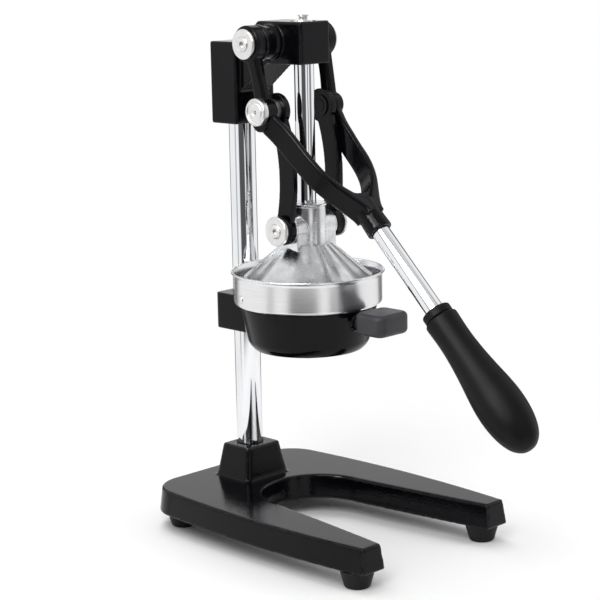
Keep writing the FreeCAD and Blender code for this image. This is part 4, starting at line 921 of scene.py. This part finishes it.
# %% Hub set screw
SET_SCREW_R = 2.5
SET_SCREW_PROUD = 0.3
SET_SCREW_EDGE = 0.3
BACK = Vector((0, 1, 0))
low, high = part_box("hub_screw")
screw_z = (low.z + high.z) / 2 / MM
long = HUB_R + SET_SCREW_PROUD - ROD_R
profile = [(0, 0), (0, SET_SCREW_R), (long - SET_SCREW_EDGE, SET_SCREW_R),
           (long, SET_SCREW_R - SET_SCREW_EDGE), (long, 0)]
screw = turned("hub_set_screw", profile, at(0, ROD_Y + ROD_R, screw_z), BACK, steps=32, edge=0)
hex_socket(screw, at(0, ROD_Y + ROD_R + long, screw_z), BACK, across_flats=2.5, depth=1.5)
hand_over(screw, "hub_screw")

# %% [markdown]
# The steadying handle is a moulded block with a full, rounded end. A cube is set to its size, its four
# upright edges are rounded generously and a smaller bevel goes round the top and bottom.

# %% Handle
RISE = 1.6
BACK_REACH = 2.6
CORNER_R = 7.5
EDGE_R = 4.2
UPRIGHT_OVER = 5.0
low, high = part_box("paddle_handle")
high = high + Vector((0, BACK_REACH, RISE)) * MM
handle = block("moulded_handle", (low + high) / 2, high - low)
heights = [vertex.co.z for vertex in handle.data.vertices]


def upright(edge):
    first, second = edge.vertices
    return abs(heights[first] - heights[second]) > UPRIGHT_OVER * MM


pick(handle, "EDGE", upright)
bpy.ops.mesh.bevel(offset=CORNER_R * MM, segments=10)
bpy.ops.object.mode_set(mode="OBJECT")
break_edges(handle, EDGE_R, 8, 50)
only(handle)
bpy.ops.object.shade_smooth()
hand_over(handle, "paddle_handle")

# %% [markdown]
# A studio sweep is a pale floor under a white background. The floor keeps the shadow close to the
# press and fades to plain white further out, where it only has to meet the background. Metal that looks
# past it sees the studio: white walls with black cards, whose reflections give chrome its dark lines.

# %% Floor
FLOOR_R = 4.0
FADE_START = 0.24
FADE_END = 0.62
deselect()
bpy.ops.mesh.primitive_circle_add(vertices=96, radius=FLOOR_R, fill_type="NGON", location=(0, 0, 0))
floor = bpy.context.active_object
floor.name = "studio_floor"
floor_material = bpy.data.materials.new("floor_white")
floor_material.use_nodes = True
tree = floor_material.node_tree
shader = tree.nodes["Principled BSDF"]
shader.inputs["Base Color"].default_value = (0.94, 0.94, 0.94, 1)
shader.inputs["Roughness"].default_value = 0.8
shader.inputs["Specular IOR Level"].default_value = 0.2
distance = add_node(tree, "ShaderNodeVectorMath", {0: own_place(tree)}, operation="LENGTH").outputs["Value"]
far = spread(tree, distance, FADE_START, FADE_END, curve="SMOOTHERSTEP")
path = add_node(tree, "ShaderNodeLightPath").outputs
seen = maths(tree, "MULTIPLY", far, path["Is Camera Ray"])
passed = maths(tree, "MULTIPLY", far, path["Is Glossy Ray"])
white = add_node(tree, "ShaderNodeEmission", {"Color": (1, 1, 1, 1), "Strength": 1.0})
faded = add_node(tree, "ShaderNodeMixShader", {0: seen, 1: shader.outputs[0], 2: white.outputs[0]})
clear = add_node(tree, "ShaderNodeBsdfTransparent")
open_floor = add_node(tree, "ShaderNodeMixShader", {0: passed, 1: faded.outputs[0], 2: clear.outputs[0]})
tree.links.new(open_floor.outputs[0], tree.nodes["Material Output"].inputs["Surface"])
floor.data.materials.append(floor_material)
print("floor", FLOOR_R, "m")

# %% [markdown]
# What metal reflects is painted into the world by its direction from the press. The azimuth is counted
# in degrees from the camera's side, so that the cards can be set round the press as seen in the picture.

# %% Directions
CAMERA_SIDE = (-0.703, -0.711)
world = bpy.data.worlds.new("studio")
bpy.context.scene.world = world
world.use_nodes = True
tree = world.node_tree
direction = add_node(tree, "ShaderNodeTexCoord").outputs["Generated"]
east, north, height = add_node(tree, "ShaderNodeSeparateXYZ", {0: direction}).outputs
ahead = maths(tree, "ADD", maths(tree, "MULTIPLY", east, CAMERA_SIDE[0]),
              maths(tree, "MULTIPLY", north, CAMERA_SIDE[1]))
aside = maths(tree, "SUBTRACT", maths(tree, "MULTIPLY", north, CAMERA_SIDE[0]),
              maths(tree, "MULTIPLY", east, CAMERA_SIDE[1]))
azimuth = maths(tree, "MULTIPLY", maths(tree, "ARCTAN2", aside, ahead), 180 / math.pi)


def away_from(tree, value, middle):
    return maths(tree, "ABSOLUTE", maths(tree, "SUBTRACT", value, middle))


print("azimuth from", CAMERA_SIDE)

# %% [markdown]
# There are six black cards: a broad soft one towards the camera, three narrower ones at its sides, and
# two behind the press whose reflections run down the edges of every bar. Each has a middle, a half
# width, a soft border and a depth of black. Overhead the walls turn a little grey, and one small bright
# box gives the black castings their glints. Only glossy rays see all this. The camera sees white, and
# the rest of the light is even.

# %% Cards
CARDS = ((-8.0, 19.0, 9.0, 0.9), (38.5, 3.5, 3.0, 0.85), (-62.0, 3.0, 5.0, 0.5), (72.0, 10.0, 7.0, 0.75),
         (-152.0, 8.0, 7.0, 0.85), (152.0, 8.0, 7.0, 0.85))
OVERHEAD = 0.72
OVERHEAD_FROM = 0.72
OVERHEAD_TO = 0.98
BOX_AZIMUTH = -46.0
BOX_HEIGHT = 0.5
BOX_HALF_WIDE = 6.0
BOX_HALF_TALL = 0.14
BOX_BORDER_WIDE = 6
BOX_BORDER_TALL = 0.1
BOX_LIGHT = 12.0
EVEN_LIGHT = 0.5
light = 1.0
for middle, half, soft, depth in CARDS:
    card = spread(tree, away_from(tree, azimuth, middle), half, half + soft, 1 - depth, 1.0, "SMOOTHSTEP")
    light = maths(tree, "MULTIPLY", light, card)
light = mix_numbers(tree, spread(tree, height, OVERHEAD_FROM, OVERHEAD_TO), light, OVERHEAD)
across_box = spread(tree, away_from(tree, azimuth, BOX_AZIMUTH), BOX_HALF_WIDE,
                    BOX_HALF_WIDE + BOX_BORDER_WIDE, 1.0, 0.0)
up_box = spread(tree, away_from(tree, height, BOX_HEIGHT), BOX_HALF_TALL,
                BOX_HALF_TALL + BOX_BORDER_TALL, 1.0, 0.0)
shine = maths(tree, "MULTIPLY", across_box, up_box)
light = maths(tree, "ADD", light, maths(tree, "MULTIPLY", shine, BOX_LIGHT))
path = add_node(tree, "ShaderNodeLightPath").outputs
glossy = mix_numbers(tree, path["Is Glossy Ray"], EVEN_LIGHT, light)
level = mix_numbers(tree, path["Is Camera Ray"], glossy, 1.0)
background = tree.nodes["Background"].inputs
tree.links.new(level, background["Color"])
background["Strength"].default_value = 1.0
print("world with", len(CARDS), "cards")

# %% [markdown]
# Three softboxes light the object itself: the key from the left above the camera, a weaker fill from
# the right and one overhead. They are large, so every shadow is soft. Only the key shows in metal,
# since the others would wash out the bell's panels.

# %% Lamps


def add_lamp(name, place, target, power, size, size_y=None, seen_in_metal=True):
    data = bpy.data.lights.new(name, "AREA")
    data.energy = power
    data.size = size
    if size_y:
        data.shape = "RECTANGLE"
        data.size_y = size_y
    lamp = bpy.data.objects.new(name, data)
    bpy.context.scene.collection.objects.link(lamp)
    lamp.location = place
    lamp.visible_glossy = seen_in_metal
    lamp.rotation_euler = (Vector(target) - Vector(place)).to_track_quat("-Z", "Y").to_euler()
    print("lamp", name, power, "W")


add_lamp("key_softbox", (-1.2, -0.6, 1.5), (0, 0, 0.25), power=16, size=0.9, size_y=1.2)
add_lamp("fill_softbox", (0.9, -1.3, 1.0), (0, 0, 0.2), power=8, size=1.0, size_y=1.4, seen_in_metal=False)
add_lamp("top_softbox", (0.1, 0.6, 1.7), (0, 0, 0.2), power=13, size=1.2, seen_in_metal=False)

# %% [markdown]
# The picture keeps the plain Standard look, because the background has to come out pure white.

# %% Finish
bpy.context.scene.view_settings.view_transform = "Standard"
